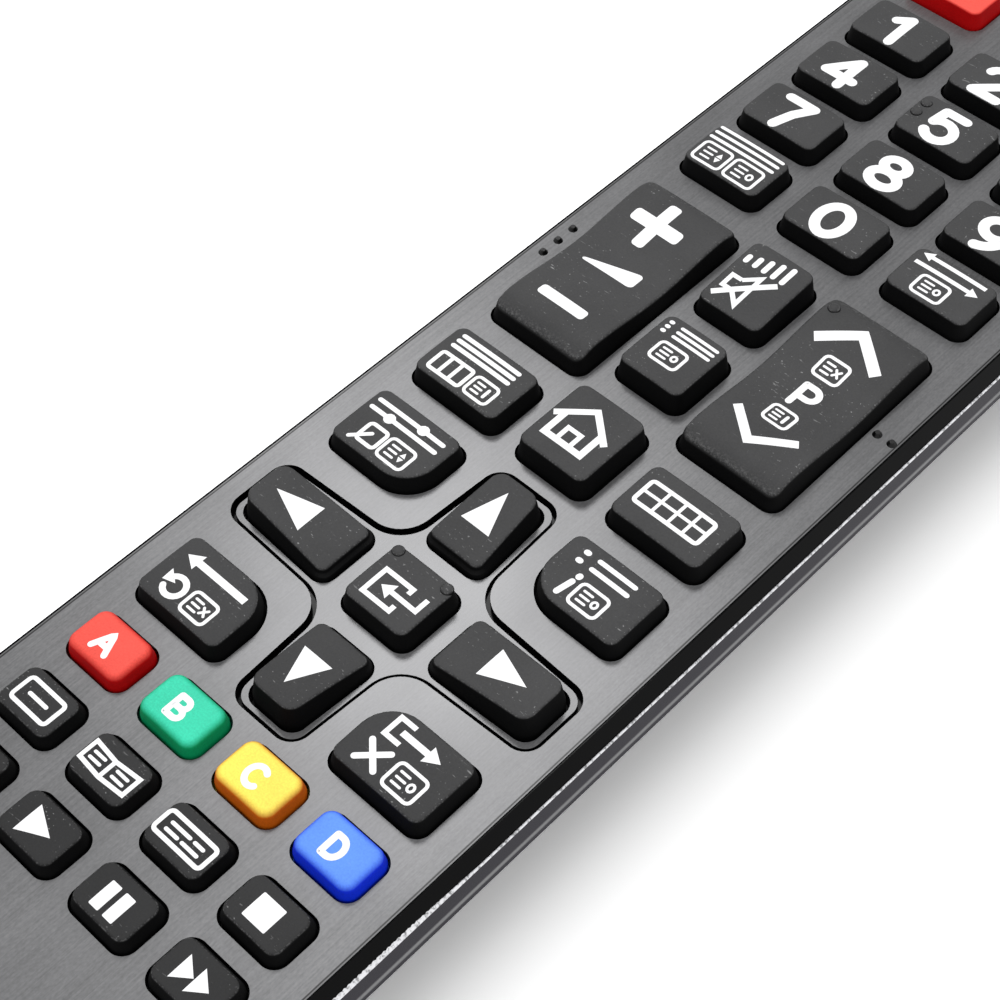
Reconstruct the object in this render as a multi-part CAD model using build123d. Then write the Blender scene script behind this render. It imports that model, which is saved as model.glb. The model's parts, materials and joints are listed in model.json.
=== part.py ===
from build123d import *
import os

# A slim remote control, in millimetres. X runs across it, Y from its tail to the end that is
# pointed at the screen, Z up. The origin lies on the surface that it rests on, under its middle.

os.makedirs("parts", exist_ok=True)

# Plan of the housing and its panel
field_width = 37.2        # between the outer edges of the outermost key openings
side_margin = 3.3         # panel beside the openings
shoulder = 1.1            # glossy rim of the housing round the panel
rim_flat = 0.1            # flat top of that rim, inside its slope
shoulder_drop = 2.0       # height of the slope
tail_margin = 21.0        # housing behind the last row of openings
front_margin = 8.3        # housing in front of the first row of openings
corner_round = 12.0       # plan corners of the housing

# Bars of panel between the rows of openings, named by the row in front of each
play_bar = 1.7
colour_bar = 2.1
pad_bar = 2.1
menu_bar = 2.45
rocker_bar = 2.9
list_bar = 3.2
mute_bar = 2.55
zero_bar = 3.4
digit_bar = 1.65
power_bar = 3.0

# Bars of panel between the openings of one row
small_gap = 1.87
digit_gap = 2.4
hub_gap = 2.1
list_gap = 1.4

# Openings along and, for the middle keys, across, the rise of each key above the panel,
# and how far its top face lies inside its opening
small_along = 5.9
small_rise = 1.5
small_inset = 0.62
colour_rise = 1.65
colour_inset = 0.5
menu_along = 8.2
menu_rise = 2.2
menu_inset = 0.52
hub_across = 9.4
hub_along = 10.6
hub_rise = 2.6
hub_inset = 0.42
list_across = 8.8
list_along = 9.2
list_rise = 2.6
list_inset = 0.7
mute_along = 10.7
mute_back_rise = 2.1
mute_front_rise = 2.9
rocker_along = 25.3
rocker_rise = 2.5         # at its two crests
rocker_dish = 0.75        # fall from the crests to the middle
rocker_roll = 1.4         # fall from the crests to the ends
rocker_inset = 0.7
crest_share = 0.74        # crests of a rocker, as a share of its half length
digit_along = 7.7
digit_rise = 2.1
digit_inset = 0.62
power_along = 6.4
opening_round = 1.6

# Direction pad
turn_along = 8.7          # the four keys round the pad
turn_rise = 1.95
turn_inset = 0.65
turn_round = 4.2          # the corner that faces the middle of the pad
pad_waist_across = 6.8    # middle of the pad to the openings of those four keys
pad_waist_along = 7.65
enter_across = 8.9
enter_along = 8.4
enter_rise = 1.9
enter_inset = 0.65
arrow_bar = 1.8           # between the enter key and each arrow key
arrow_root_width = 7.7
arrow_tip_width = 6.4
arrow_root_rise = 1.0
arrow_tip_rise = 2.6
arrow_inset = 0.6
pad_rim = 0.5             # panel left round the arrow keys
groove_width = 0.45
groove_tip_round = 2.1
groove_waist_round = 3.6
pad_sink = 0.35           # the pad's plate lies this far below the panel

# Raised marks
edge_round = 0.3
bump_reach_share = 0.36   # bumps of a key from its middle, as a share of its opening
bump_step = 1.8
bump_radius = 0.65
bump_height = 0.3
pip_radius = 0.5
pip_height = 0.4
volume_pip_pitch = 2.25
programme_pip_pitch = 1.7
programme_pip_shift = 1.85

# Heights, stacked from the underside
cover_thickness = 1.3
cell_play = 0.2
cell_diameter = 10.2
bay_roof = 1.0
solder_space = 0.5
board_thickness = 1.2
mat_thickness = 0.4
press_travel = 0.8
contact_play = 0.05
pill_thickness = 0.5
flange_thickness = 0.6
flange_play = 0.2
deck_thickness = 1.2
panel_thickness = 1.0
side_height = 6.0         # glossy side of the upper housing
underside_margin = 0.85   # flat underside beside the battery bay's walls

# Walls and fits
wall = 1.6
seam_step = 0.2
lip_thickness = 1.0
lip_depth = 1.2
ledge_width = 1.9
crease_ledge = 0.2        # step between the glossy slope and the side below it
hull_round = 3.0
keel_round = 3.6          # plan corners of the underside
slide_clearance = 0.25
flange_lip = 0.3
fit = 0.1
board_clearance = 0.5
overrun = 2.0

# Contact pills and their places under the rockers
pill_radius = 1.6
pill_window = 0.6
rocker_pill_reach = 8.6
rocker_lug_length = 8.0
rocker_lug_play = 0.35
fulcrum_width = 1.6
fulcrum_play = 0.1
rocker_tilt = 3.0

# Battery bay, cells and contacts
cell_length = 44.5
nub_radius = 1.9
nub_length = 0.9
cell_edge = 0.4
cell_gap = 0.6
bay_side_play = 0.4
bay_wall = 1.2
bay_setback = 8.6         # tail end of the flat underside to the bay
spring_room = 5.5
contact_thickness = 0.4
contact_height = 8.4
contact_width = 8.0
contact_tab = 3.0
contact_touch = 0.05
spring_radius = 3.0
spring_wire = 0.7
spring_turns = 4
cover_lead = 6.0          # cover in front of the bay
cover_side = 0.7          # cover beside the bay
tongue_width = 0.8
tongue_height = 0.5
cover_clearance = 0.15
tab_length = 2.4
tab_width = 9.0
floor_over_cover = 1.2
grip_count = 6
grip_pitch = 1.7
grip_width = 0.8
grip_length = 11.0
grip_depth = 0.35
grip_setback = 5.0

# Screws
screw_radius = 1.1
screw_head_radius = 2.0
screw_head_height = 1.5
screw_slot_width = 0.5
screw_slot_depth = 0.6
screw_spread = 16.0
screw_setback = 4.2       # tail end of the flat underside to the screws
screw_bite = 2.6
boss_radius = 2.5
hull_boss_radius = 3.2
screw_clearance = 0.05
boss_clearance = 0.3

# Front window and electronics
window_width = 16.0
window_height = 3.3
window_flange = 1.2
window_flange_thickness = 0.8
led_radius = 2.5
led_collar_radius = 2.9
led_collar_length = 1.0
led_body_length = 5.2
led_drop = 0.4
led_gap = 0.6
led_lead_width = 0.5
led_lead_length = 4.0
led_lead_spread = 2.54
chip_length = 12.8
chip_width = 7.5
chip_height = 2.3
chip_pins = 10
chip_pin_pitch = 1.27
chip_pin_width = 0.42
chip_pin_reach = 1.3
chip_pin_thickness = 0.25
chip_round = 0.3
resonator_length = 7.0
resonator_width = 3.0
resonator_height = 3.2
capacitor_radius = 2.5
capacitor_length = 11.0
capacitor_lead_width = 0.6
capacitor_lead_length = 2.5
capacitor_lead_spread = 2.0
transistor_width = 4.6
transistor_depth = 3.6
transistor_height = 4.6
resistor_length = 2.0
resistor_width = 1.25
resistor_height = 0.5
resistor_pitch = 4.0
resistor_count = 5
part_spacing = 9.0

# Places worked out from the sizes above
field_half = field_width / 2
body_width = field_width + 2 * side_margin + 2 * shoulder
small_across = (field_width - 3 * small_gap) / 4
digit_across = (field_width - 2 * digit_gap) / 3
menu_across = (field_width - hub_across) / 2 - hub_gap
rocker_across = (field_width - list_across) / 2 - list_gap
turn_across = field_half - pad_waist_across
pad_half = pad_waist_along + turn_along
bay_half = cell_diameter + cell_gap / 2 + bay_side_play
cover_half = bay_half + cover_side
tongue_half = cover_half + tongue_width
keel_half = tongue_half + cover_clearance + bay_wall
hull_inset = body_width / 2 - keel_half - underside_margin

cell_bottom = cover_thickness + cell_play
cell_axis = cell_bottom + cell_diameter / 2
roof_bottom = cell_axis + cell_diameter / 2 + cell_play
roof_top = roof_bottom + bay_roof
board_bottom = roof_top + solder_space
board_top = board_bottom + board_thickness
mat_top = board_top + mat_thickness
pill_bottom = board_top + contact_play + press_travel
flange_bottom = pill_bottom + pill_thickness
flange_top = flange_bottom + flange_thickness
deck_bottom = flange_top + flange_play
deck_top = deck_bottom + deck_thickness
panel_top = deck_top + panel_thickness
seam = panel_top - side_height


def stack_rows():
    """Middle of each row, as distances from the tail, and the total length."""
    row = {}
    edge = tail_margin
    for name, length, bar in (
        ("play", small_along, play_bar),
        ("stop", small_along, colour_bar),
        ("colour", small_along, pad_bar),
        ("pad", 2 * pad_half, menu_bar),
    ):
        row[name] = edge + length / 2
        edge += length + bar
    row["menu"] = edge + menu_along / 2
    row["hub"] = edge + hub_along / 2
    row["rocker"] = edge + menu_along + rocker_bar + rocker_along / 2
    list_edge = edge + hub_along + list_bar
    row["list"] = list_edge + list_along / 2
    row["mute"] = list_edge + list_along + mute_bar + mute_along / 2
    mute_end = row["mute"] + mute_along / 2
    edge = max(row["rocker"] + rocker_along / 2, mute_end) + zero_bar
    for name in ("zero", "seven", "four", "one"):
        row[name] = edge + digit_along / 2
        edge += digit_along + digit_bar
    edge += power_bar - digit_bar
    row["power"] = edge + power_along / 2
    return row, edge + power_along + front_margin


tail_rows, body_length = stack_rows()
rows = {name: place - body_length / 2 for name, place in tail_rows.items()}
tail = -body_length / 2
keel_tail = tail + hull_inset
pad_centre = rows["pad"]


def prism(outline, low, high):
    """An upright prism on a plan outline."""
    return Pos(0, 0, low) * extrude(outline, high - low)


def slab(x_low, x_high, y_low, y_high, z_low, z_high):
    """A box given by its limits."""
    middle = ((x_low + x_high) / 2, (y_low + y_high) / 2, (z_low + z_high) / 2)
    return Pos(*middle) * Box(x_high - x_low, y_high - y_low, z_high - z_low)


def plan(inset):
    """The housing's plan outline, drawn in by an inset."""
    return RectangleRounded(body_width - 2 * inset, body_length - 2 * inset, corner_round - inset)


# Outlines of the openings about each key's own middle, grown by an amount


def oblong(across, along):
    def outline(grow):
        return RectangleRounded(across + 2 * grow, along + 2 * grow, opening_round + grow)
    return outline


def turn_outline(x_side, y_side):
    """A rounded oblong with one larger corner, on the side of the pad's middle."""
    def outline(grow):
        plate = Rectangle(turn_across + 2 * grow, turn_along + 2 * grow)
        inner = (-x_side * turn_across, -y_side * turn_along)
        near_first = plate.vertices().sort_by_distance(inner)
        plate = fillet(near_first[1:], opening_round + grow)
        return fillet(plate.vertices().sort_by_distance(inner)[0], turn_round + grow)
    return outline


def arrow_outline(length):
    """A plan wedge that narrows from the middle of the pad to its tip, which points along +Y."""
    def outline(grow):
        half = length / 2 + grow
        root = arrow_root_width / 2 + grow
        tip = arrow_tip_width / 2 + grow
        wedge = Polygon((-root, -half), (root, -half), (tip, half), (-tip, half), align=None)
        return fillet(wedge.vertices(), opening_round + grow)
    return outline


# Cutters that shape the tops, about each key's own middle


def slope_top(length, back, front):
    """Everything above a plane that passes the two rises at the opening's back and front edges."""
    per_length = (front - back) / length
    far = length / 2 + overrun
    high = max(back, front) + overrun
    face = Polygon(
        (-far, back - per_length * overrun),
        (far, front + per_length * overrun),
        (far, high),
        (-far, high),
        align=None,
    )
    return extrude(Plane.YZ * face, turn_across, both=True)


def dish_top():
    """Everything above a rocker's saddle: two crests, a shallow dish between, rolled ends."""
    half = rocker_along / 2
    crest = crest_share * half
    ends = rocker_rise - rocker_roll
    middle = rocker_rise - rocker_dish
    curve = Spline(
        (-half, ends), (-crest, rocker_rise), (0, middle), (crest, rocker_rise), (half, ends)
    )
    high = rocker_rise + overrun
    lid = Polyline((half, ends), (half, high), (-half, high), (-half, ends))
    return extrude(Plane.YZ * make_face(curve + lid), rocker_across, both=True)


def key(name, x, y, outline, rise, inset, turn=0, top=None, bumps=(), rocker=False):
    """One key of the keypad, as the facts that its solids are made from."""
    return {
        "name": name,
        "at": Pos(x, y) * Rot(0, 0, turn),
        "outline": outline,
        "rise": rise,
        "inset": inset,
        "top": top,
        "bumps": bumps,
        "rocker": rocker,
    }


def side_column(across):
    """Places of a left, a middle and a right key whose outer edges meet the key field."""
    outer = field_half - across / 2
    return (-outer, 0, outer)


def digit_keys():
    outline = oblong(digit_across, digit_along)
    marks = ((-bump_reach_share * digit_across, 0), (-bump_reach_share * digit_across, bump_step))
    keys = []
    for row, numbers in (("one", (1, 2, 3)), ("four", (4, 5, 6)), ("seven", (7, 8, 9))):
        for number, x in zip(numbers, side_column(digit_across)):
            bumps = marks if number == 5 else ()
            keys.append(
                key(f"key_{number}", x, rows[row], outline, digit_rise, digit_inset, bumps=bumps)
            )
    for name, x in zip(("key_text", "key_0", "key_previous"), side_column(digit_across)):
        keys.append(key(name, x, rows["zero"], outline, digit_rise, digit_inset))
    top_row = oblong(digit_across, power_along)
    for name, side in (("key_power", -1), ("key_source", 1)):
        x = side * (field_half - digit_across / 2)
        keys.append(key(name, x, rows["power"], top_row, digit_rise, digit_inset))
    return keys


def rocker_keys():
    keys = []
    x = field_half - rocker_across / 2
    mark = ((-bump_reach_share * rocker_across, crest_share * rocker_along / 2),)
    for name, side, bumps in (("key_volume", -1, ()), ("key_programme", 1, mark)):
        outline = oblong(rocker_across, rocker_along)
        keys.append(
            key(
                name, side * x, rows["rocker"], outline, rocker_rise, rocker_inset,
                top=dish_top(), bumps=bumps, rocker=True,
            )
        )
    return keys


def middle_keys():
    mute_top = slope_top(mute_along, mute_back_rise, mute_front_rise)
    mute = oblong(list_across, mute_along)
    menu = oblong(menu_across, menu_along)
    left, _, right = side_column(menu_across)
    return [
        key("key_mute", 0, rows["mute"], mute, mute_front_rise, list_inset, top=mute_top),
        key("key_list", 0, rows["list"], oblong(list_across, list_along), list_rise, list_inset),
        key("key_menu", left, rows["menu"], menu, menu_rise, menu_inset),
        key("key_hub", 0, rows["hub"], oblong(hub_across, hub_along), hub_rise, hub_inset),
        key("key_guide", right, rows["menu"], menu, menu_rise, menu_inset),
    ]


def pad_keys():
    keys = []
    x = field_half - turn_across / 2
    y = pad_waist_along + turn_along / 2
    corners = (
        ("key_tools", -1, 1), ("key_info", 1, 1), ("key_return", -1, -1), ("key_exit", 1, -1)
    )
    for name, x_side, y_side in corners:
        outline = turn_outline(x_side, y_side)
        place = (x_side * x, pad_centre + y_side * y)
        keys.append(key(name, *place, outline, turn_rise, turn_inset))
    bump_y = bump_reach_share * enter_along - edge_round
    bumps = [(side * bump_reach_share * enter_across, bump_y) for side in (-1, 1)]
    enter = oblong(enter_across, enter_along)
    keys.append(key("key_enter", 0, pad_centre, enter, enter_rise, enter_inset, bumps=bumps))
    spans = {
        "key_up": (0, enter_along, pad_half),
        "key_left": (90, enter_across, field_half),
        "key_down": (180, enter_along, pad_half),
        "key_right": (270, enter_across, field_half),
    }
    for name, (turn, enter_size, reach) in spans.items():
        root = enter_size / 2 + arrow_bar
        centre = Vector(0, (root + reach) / 2).rotate(Axis.Z, turn)
        top = slope_top(reach - root, arrow_root_rise, arrow_tip_rise)
        keys.append(
            key(
                name, centre.X, pad_centre + centre.Y, arrow_outline(reach - root),
                arrow_tip_rise, arrow_inset, turn=turn, top=top,
            )
        )
    return keys


def small_keys():
    outline = oblong(small_across, small_along)
    outer = field_half - small_across / 2
    columns = [-outer + step * 2 * outer / 3 for step in range(4)]
    keys = []
    for x, name in zip(columns, ("key_a", "key_b", "key_c", "key_d")):
        keys.append(key(name, x, rows["colour"], outline, colour_rise, colour_inset))
    for x, name in zip(columns, ("key_size", "key_manual", "key_subtitle", "key_stop")):
        keys.append(key(name, x, rows["stop"], outline, small_rise, small_inset))
    for x, name in zip(columns, ("key_rewind", "key_play", "key_pause", "key_forward")):
        keys.append(key(name, x, rows["play"], outline, small_rise, small_inset))
    return keys


all_keys = digit_keys() + rocker_keys() + middle_keys() + pad_keys() + small_keys()


def cap(one):
    """The part of a key above the panel, drafted, with its top shaped and its edges rounded."""
    outline = one["outline"]
    foot = Pos(0, 0, panel_top) * outline(-slide_clearance)
    crown = Pos(0, 0, panel_top + one["rise"]) * outline(-one["inset"])
    body = loft([foot.face(), crown.face()], ruled=True)
    if one["top"] is not None:
        body = body - Pos(0, 0, panel_top) * one["top"]
    rim = body.faces().sort_by(Axis.Z)[-1].edges()
    return fillet(rim, edge_round)


def bump(place, rise):
    """A low dome for the fingertip to find."""
    sphere = (bump_radius ** 2 + bump_height ** 2) / (2 * bump_height)
    centre = panel_top + rise + bump_height - sphere
    return Pos(*place, centre) * Sphere(sphere)


def key_body(one):
    outline = one["outline"]
    body = cap(one)
    for place in one["bumps"]:
        body += bump(place, one["rise"])
    shank = prism(outline(-slide_clearance), flange_bottom, panel_top)
    if not one["rocker"]:
        return body + shank + prism(outline(flange_lip), flange_bottom, flange_top)
    half = rocker_across / 2 + flange_lip
    lug = rocker_lug_length / 2
    top = deck_bottom - rocker_lug_play
    lugs = slab(-half, half, -lug, lug, flange_bottom, top)
    ridge = slab(
        -half + flange_lip + slide_clearance, half - flange_lip - slide_clearance,
        -fulcrum_width / 2, fulcrum_width / 2, mat_top + fulcrum_play, flange_bottom,
    )
    return body + shank + lugs + ridge


# A rocker's pills stop just above the board when it is tilted as far as it goes
rocker_fall = Vector(rocker_pill_reach + pill_radius, 0).rotate(Axis.Z, rocker_tilt).Y


def pill_places(one):
    return [(0, -rocker_pill_reach), (0, rocker_pill_reach)] if one["rocker"] else [(0, 0)]


def key_pills(one):
    low = board_top + contact_play + rocker_fall if one["rocker"] else pill_bottom
    disc = Circle(pill_radius)
    return [prism(Pos(*place) * disc, low, flange_bottom) for place in pill_places(one)]


def openings(keys, low, high):
    """Upright cuts through the panel or the deck, one for each key."""
    return [one["at"] * prism(one["outline"](0), low, high) for one in keys]


# The pad's cross-shaped plate and the groove round it


def cross(grow, tip_round, waist_round):
    """A plan cross whose arms widen towards its middle, grown from the arrow keys' openings."""
    tip = arrow_tip_width / 2 + grow
    waist = arrow_root_width / 2 + grow
    across = field_half + grow
    along = pad_half + grow
    quarter = [(across, tip), (waist, waist), (tip, along)]
    mirrored = [(-x, y) for x, y in reversed(quarter)]
    upper = quarter + mirrored
    lower = [(x, -y) for x, y in reversed(upper)]
    plate = Polygon(*upper, *lower, align=None)

    def at_waist(corner):
        return abs(abs(corner.X) - waist) + abs(abs(corner.Y) - waist) < fit

    plate = fillet([v for v in plate.vertices() if not at_waist(v)], tip_round)
    return Pos(0, pad_centre) * fillet([v for v in plate.vertices() if at_waist(v)], waist_round)


pad_island = cross(pad_rim, groove_tip_round - groove_width, groove_waist_round + groove_width)
pad_hollow = cross(pad_rim + groove_width, groove_tip_round, groove_waist_round)
pad_names = ("key_enter", "key_up", "key_left", "key_down", "key_right")
pad_group = [one for one in all_keys if one["name"] in pad_names]
panel_group = [one for one in all_keys if one["name"] not in pad_names]


def pips():
    """Cone-shaped marks on the panel beside the two rockers."""
    cone = Cone(pip_radius, pip_radius / 2, pip_height)
    height = panel_top + pip_height / 2
    margin = field_half + side_margin / 2
    marks = []
    for step in (-1, 0, 1):
        marks.append(Pos(-margin, rows["rocker"] + step * volume_pip_pitch, height) * cone)
    for step in (-1, 1):
        x = margin + step * programme_pip_pitch / 2
        marks.append(Pos(x, rows["rocker"] + programme_pip_shift, height) * cone)
    return marks


def faceplate():
    plate = prism(plan(shoulder + fit), deck_top, panel_top)
    plate -= prism(pad_hollow, deck_top - overrun, panel_top + overrun)
    plate -= openings(panel_group, deck_top - overrun, panel_top + overrun)
    return plate + pips()


def pad_plate():
    plate = prism(pad_island, deck_top, panel_top - pad_sink)
    return plate - openings(pad_group, deck_top - overrun, panel_top + overrun)


# Screws run up from under the battery cover into the upper housing
screw_places = [(side * screw_spread / 2, keel_tail + screw_setback) for side in (-1, 1)]
head_bottom = cover_thickness + 2 * cover_clearance
head_top = head_bottom + screw_head_height
screw_tip = board_bottom + screw_bite


def columns(radius, low, high):
    return [prism(Pos(*place) * Circle(radius), low, high) for place in screw_places]


# The front end: window, diode and the slot that the diode lies in
front = body_length / 2
led_axis = board_bottom + board_thickness / 2 - led_drop
window_inner = front - wall
led_tip = window_inner - window_flange_thickness - led_gap
led_base = led_tip - led_radius - led_body_length - led_collar_length
led_slot = led_collar_radius + slide_clearance
window_top = seam + window_height
flange_half = window_width / 2 + window_flange + fit


def rim_form():
    """The upper housing's outer form: upright sides, a narrow ledge, a glossy slope to the panel."""
    crease = panel_top - shoulder_drop
    foot = (Pos(0, 0, crease) * plan(crease_ledge)).face()
    slope = loft([foot, (Pos(0, 0, panel_top) * plan(shoulder - rim_flat)).face()], ruled=True)
    return prism(plan(0), seam, crease) + slope


def top_shell():
    shell = rim_form()
    shell -= prism(plan(shoulder), deck_top, panel_top + overrun)
    shell -= prism(plan(wall), seam - overrun, mat_top)
    shell -= prism(plan(wall + ledge_width), mat_top - overrun, deck_bottom)
    shell -= openings(all_keys, deck_bottom - overrun, deck_top + overrun)
    shell += columns(boss_radius, board_bottom, deck_bottom)
    shell -= columns(screw_radius + screw_clearance, board_bottom - overrun, screw_tip + fit)
    shell -= slab(-led_slot, led_slot, led_base - fit, window_inner, seam - overrun, deck_bottom)
    half = window_width / 2
    shell -= slab(-half, half, window_inner - fit, front + overrun, seam - overrun, window_top)
    shell -= slab(
        -flange_half, flange_half, window_inner - window_flange_thickness, window_inner,
        seam - overrun, window_top + window_flange,
    )
    return shell


def ir_window():
    """A dark window in the front wall, with a flange behind the wall that keeps it in."""
    half = window_width / 2 - fit
    pane = slab(-half, half, window_inner, front, seam + fit, window_top - fit)
    pane = fillet(pane.edges().filter_by(Axis.Z).sort_by(Axis.Y)[-2:], edge_round)
    wide = flange_half - fit
    back = window_inner - window_flange_thickness + fit
    low = board_bottom + fit
    pane += slab(-wide, wide, back, window_inner - fit, low, window_top + window_flange - fit)
    return pane + slab(-half, half, window_inner - fit, window_inner, low, window_top - fit)


def hull(inset, low):
    """The lower housing's outer form or its hollow: a tray that narrows to the underside."""
    fall = (seam - low) / seam
    narrowing = 2 * (seam_step + inset + fall * (hull_inset - seam_step))
    corner = corner_round - seam_step - inset - fall * (corner_round - seam_step - keel_round)
    foot = RectangleRounded(body_width - narrowing, body_length - narrowing, corner)
    mouth = plan(seam_step + inset)
    return loft([(Pos(0, 0, low) * foot).face(), (Pos(0, 0, seam) * mouth).face()], ruled=True)


def outer_hull():
    form = hull(0, 0)
    return fillet(form.faces().sort_by(Axis.Z)[0].edges(), hull_round)


# Battery bay
bay_back = keel_tail + bay_setback
bay_length = cell_length + spring_room + 2 * contact_thickness + 2 * contact_touch
bay_front = bay_back + bay_length
cover_front = bay_front + cover_lead
tongue_low = cover_thickness - tongue_height
channel_top = cover_thickness + cover_clearance
cell_x = (cell_diameter + cell_gap) / 2
contact_low = cell_axis - contact_height / 2


def cover_form(gap):
    """The cover's cross-section run along Y, from beyond the tail: plate, tongues and front tab."""
    past = tail - overrun
    end = cover_front + gap
    top = cover_thickness + gap
    plate = slab(-cover_half - gap, cover_half + gap, past, end, -gap, top)
    side = tongue_half + gap
    tongues = slab(-side, side, past, end, tongue_low - gap, top)
    half = tab_width / 2 + gap
    tab = slab(-half, half, past, end + tab_length, tongue_low - gap, top)
    return plate + tongues + tab


def battery_cover():
    cover = outer_hull() & cover_form(0)
    for step in range(grip_count):
        y = cover_front - grip_setback - step * grip_pitch
        half = grip_length / 2
        cover -= slab(-half, half, y - grip_width / 2, y + grip_width / 2, -overrun, grip_depth)
    return cover


def contact_slots():
    """Slits in the bay's roof for the tabs of the two front contacts."""
    slots = []
    half = contact_tab / 2 + fit
    back = bay_front - contact_thickness - fit
    end = bay_front + fit
    for side in (-1, 1):
        x = side * cell_x
        slots.append(slab(x - half, x + half, back, end, roof_bottom - fit, roof_top + fit))
    return slots


def bottom_shell():
    outer = outer_hull()
    shell = outer - hull(wall, wall)
    lip = prism(plan(wall + fit), seam - lip_depth, board_bottom)
    shell += lip - prism(plan(wall + fit + lip_thickness), seam - lip_depth, board_bottom)
    floor_top = channel_top + floor_over_cover
    end = cover_front + tab_length + bay_wall
    block = slab(-keel_half, keel_half, tail, end, 0, floor_top)
    shell += outer & block
    side = bay_half + bay_wall
    shell += slab(-side, side, bay_back - bay_wall, bay_front + bay_wall, channel_top, roof_top)
    shell += columns(hull_boss_radius, channel_top, board_bottom)
    shell -= slab(-bay_half, bay_half, bay_back, bay_front, -overrun, roof_bottom)
    shell -= cover_form(cover_clearance)
    shell -= columns(screw_head_radius + fit, -overrun, head_top)
    shell -= columns(screw_radius + fit, -overrun, board_bottom + overrun)
    shell -= contact_slots()
    return shell


def case_screws():
    screws = []
    for place in screw_places:
        head = prism(Circle(screw_head_radius), head_bottom, head_top)
        head = fillet(head.faces().sort_by(Axis.Z)[0].edges(), edge_round)
        half = screw_slot_width / 2
        deep = head_bottom + screw_slot_depth
        reach = screw_head_radius - screw_slot_width
        for slot in ((reach, half), (half, reach)):
            head -= slab(-slot[0], slot[0], -slot[1], slot[1], head_bottom - fit, deep)
        shank = prism(Circle(screw_radius), head_top, screw_tip)
        shank = chamfer(shank.faces().sort_by(Axis.Z)[-1].edges(), screw_slot_width)
        screws.append(Pos(*place) * (head + shank))
    return screws


def board_plan():
    """Outline shared by the board and the mat, clear of the bosses, the window and the diode."""
    sheet = plan(wall + board_clearance)
    hole = Circle(boss_radius + boss_clearance)
    for place in screw_places:
        sheet -= Pos(*place) * hole
    slot_back = led_base - led_lead_width - fit
    sheet -= Pos(0, front) * Rectangle(2 * led_slot, 2 * (front - slot_back))
    notch_back = window_inner - window_flange_thickness
    return sheet - Pos(0, front) * Rectangle(2 * flange_half, 2 * (front - notch_back))


def circuit_board():
    return prism(board_plan(), board_bottom, board_top)


def keypad_mat():
    mat = prism(board_plan(), board_top, mat_top)
    window = Circle(pill_radius + pill_window)
    for one in all_keys:
        for place in pill_places(one):
            mat -= one["at"] * prism(Pos(*place) * window, board_top - overrun, mat_top + overrun)
    return mat


def ir_led():
    """A diode lying along Y: domed body, collar and two leads."""
    back = led_base + led_collar_length
    straight = led_tip - led_radius
    along = Rot(90, 0, 0)
    led = Pos(0, (back + straight) / 2, led_axis) * along * Cylinder(led_radius, straight - back)
    led += Pos(0, straight, led_axis) * Sphere(led_radius)
    collar = Cylinder(led_collar_radius, led_collar_length)
    led += Pos(0, led_base + led_collar_length / 2, led_axis) * along * collar
    low = board_bottom - led_lead_width
    for side in (-1, 1):
        left = side * led_lead_spread / 2 - led_lead_width / 2
        right = left + led_lead_width
        led += slab(left, right, led_base - led_lead_length, led_base, low, board_bottom)
        led += slab(left, right, led_base - led_lead_width, led_base, low, led_axis)
    return led


electronics_y = cover_front + tab_length + bay_wall + part_spacing


def controller_chip():
    """A surface-mounted chip under the board, with a row of pins down each long side."""
    top = board_bottom - chip_pin_thickness
    body = slab(
        -chip_width / 2, chip_width / 2, -chip_length / 2, chip_length / 2, top - chip_height, top
    )
    body = fillet(body.edges().filter_by(Axis.Z), chip_round)
    chip = body
    for index in range(chip_pins):
        y = (index - (chip_pins - 1) / 2) * chip_pin_pitch
        half = chip_pin_width / 2
        reach = chip_width / 2 + chip_pin_reach
        chip += slab(-reach, reach, y - half, y + half, top, board_bottom)
    return Pos(0, electronics_y) * chip


def resonator():
    low = board_bottom - resonator_height
    block = slab(
        -resonator_length / 2, resonator_length / 2, -resonator_width / 2, resonator_width / 2,
        low, board_bottom,
    )
    block = fillet(block.edges().filter_by(Axis.Z), chip_round)
    return Pos(-part_spacing, electronics_y + part_spacing) * block


def capacitor():
    """An electrolytic can that lies against the board, its two leads bent up to it."""
    can = Rot(90, 0, 0) * Cylinder(capacitor_radius, capacitor_length)
    can = fillet(can.edges(), edge_round)
    half = capacitor_lead_width / 2
    back = -capacitor_length / 2
    end = back - capacitor_lead_length
    for side in (-1, 1):
        x = side * capacitor_lead_spread / 2
        can += slab(x - half, x + half, end, back + edge_round, -half, half)
        can += slab(x - half, x + half, end, end + 2 * half, -half, capacitor_radius)
    return Pos(part_spacing, electronics_y + part_spacing, board_bottom - capacitor_radius) * can


def driver_transistor():
    body = Cylinder(transistor_width / 2, transistor_height)
    cut = transistor_depth - transistor_width / 2
    body -= slab(
        -transistor_width, transistor_width, cut, transistor_width, -transistor_height,
        transistor_height,
    )
    low = board_bottom - transistor_height / 2
    return Pos(part_spacing, rows["four"], low) * body


def chip_resistors():
    block = Box(resistor_length, resistor_width, resistor_height)
    z = board_bottom - resistor_height / 2
    start = electronics_y + 2 * part_spacing
    return [Pos(0, start + step * resistor_pitch, z) * block for step in range(resistor_count)]


def battery_cell():
    """One cell about its own middle, with its positive end towards +Y."""
    body_part = cell_length - nub_length
    can = Cylinder(cell_diameter / 2, body_part)
    can = fillet(can.edges(), cell_edge)
    nub = Pos(0, 0, (body_part + nub_length) / 2) * Cylinder(nub_radius, nub_length)
    return Rot(-90, 0, 0) * (Pos(0, 0, -nub_length / 2) * (can + nub))


def batteries():
    cell = battery_cell()
    step = contact_thickness + contact_touch + cell_length / 2
    left = Pos(-cell_x, bay_front - step, cell_axis) * cell
    right = Pos(cell_x, bay_back + step, cell_axis) * Rot(0, 0, 180) * cell
    return [left, right]


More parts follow.
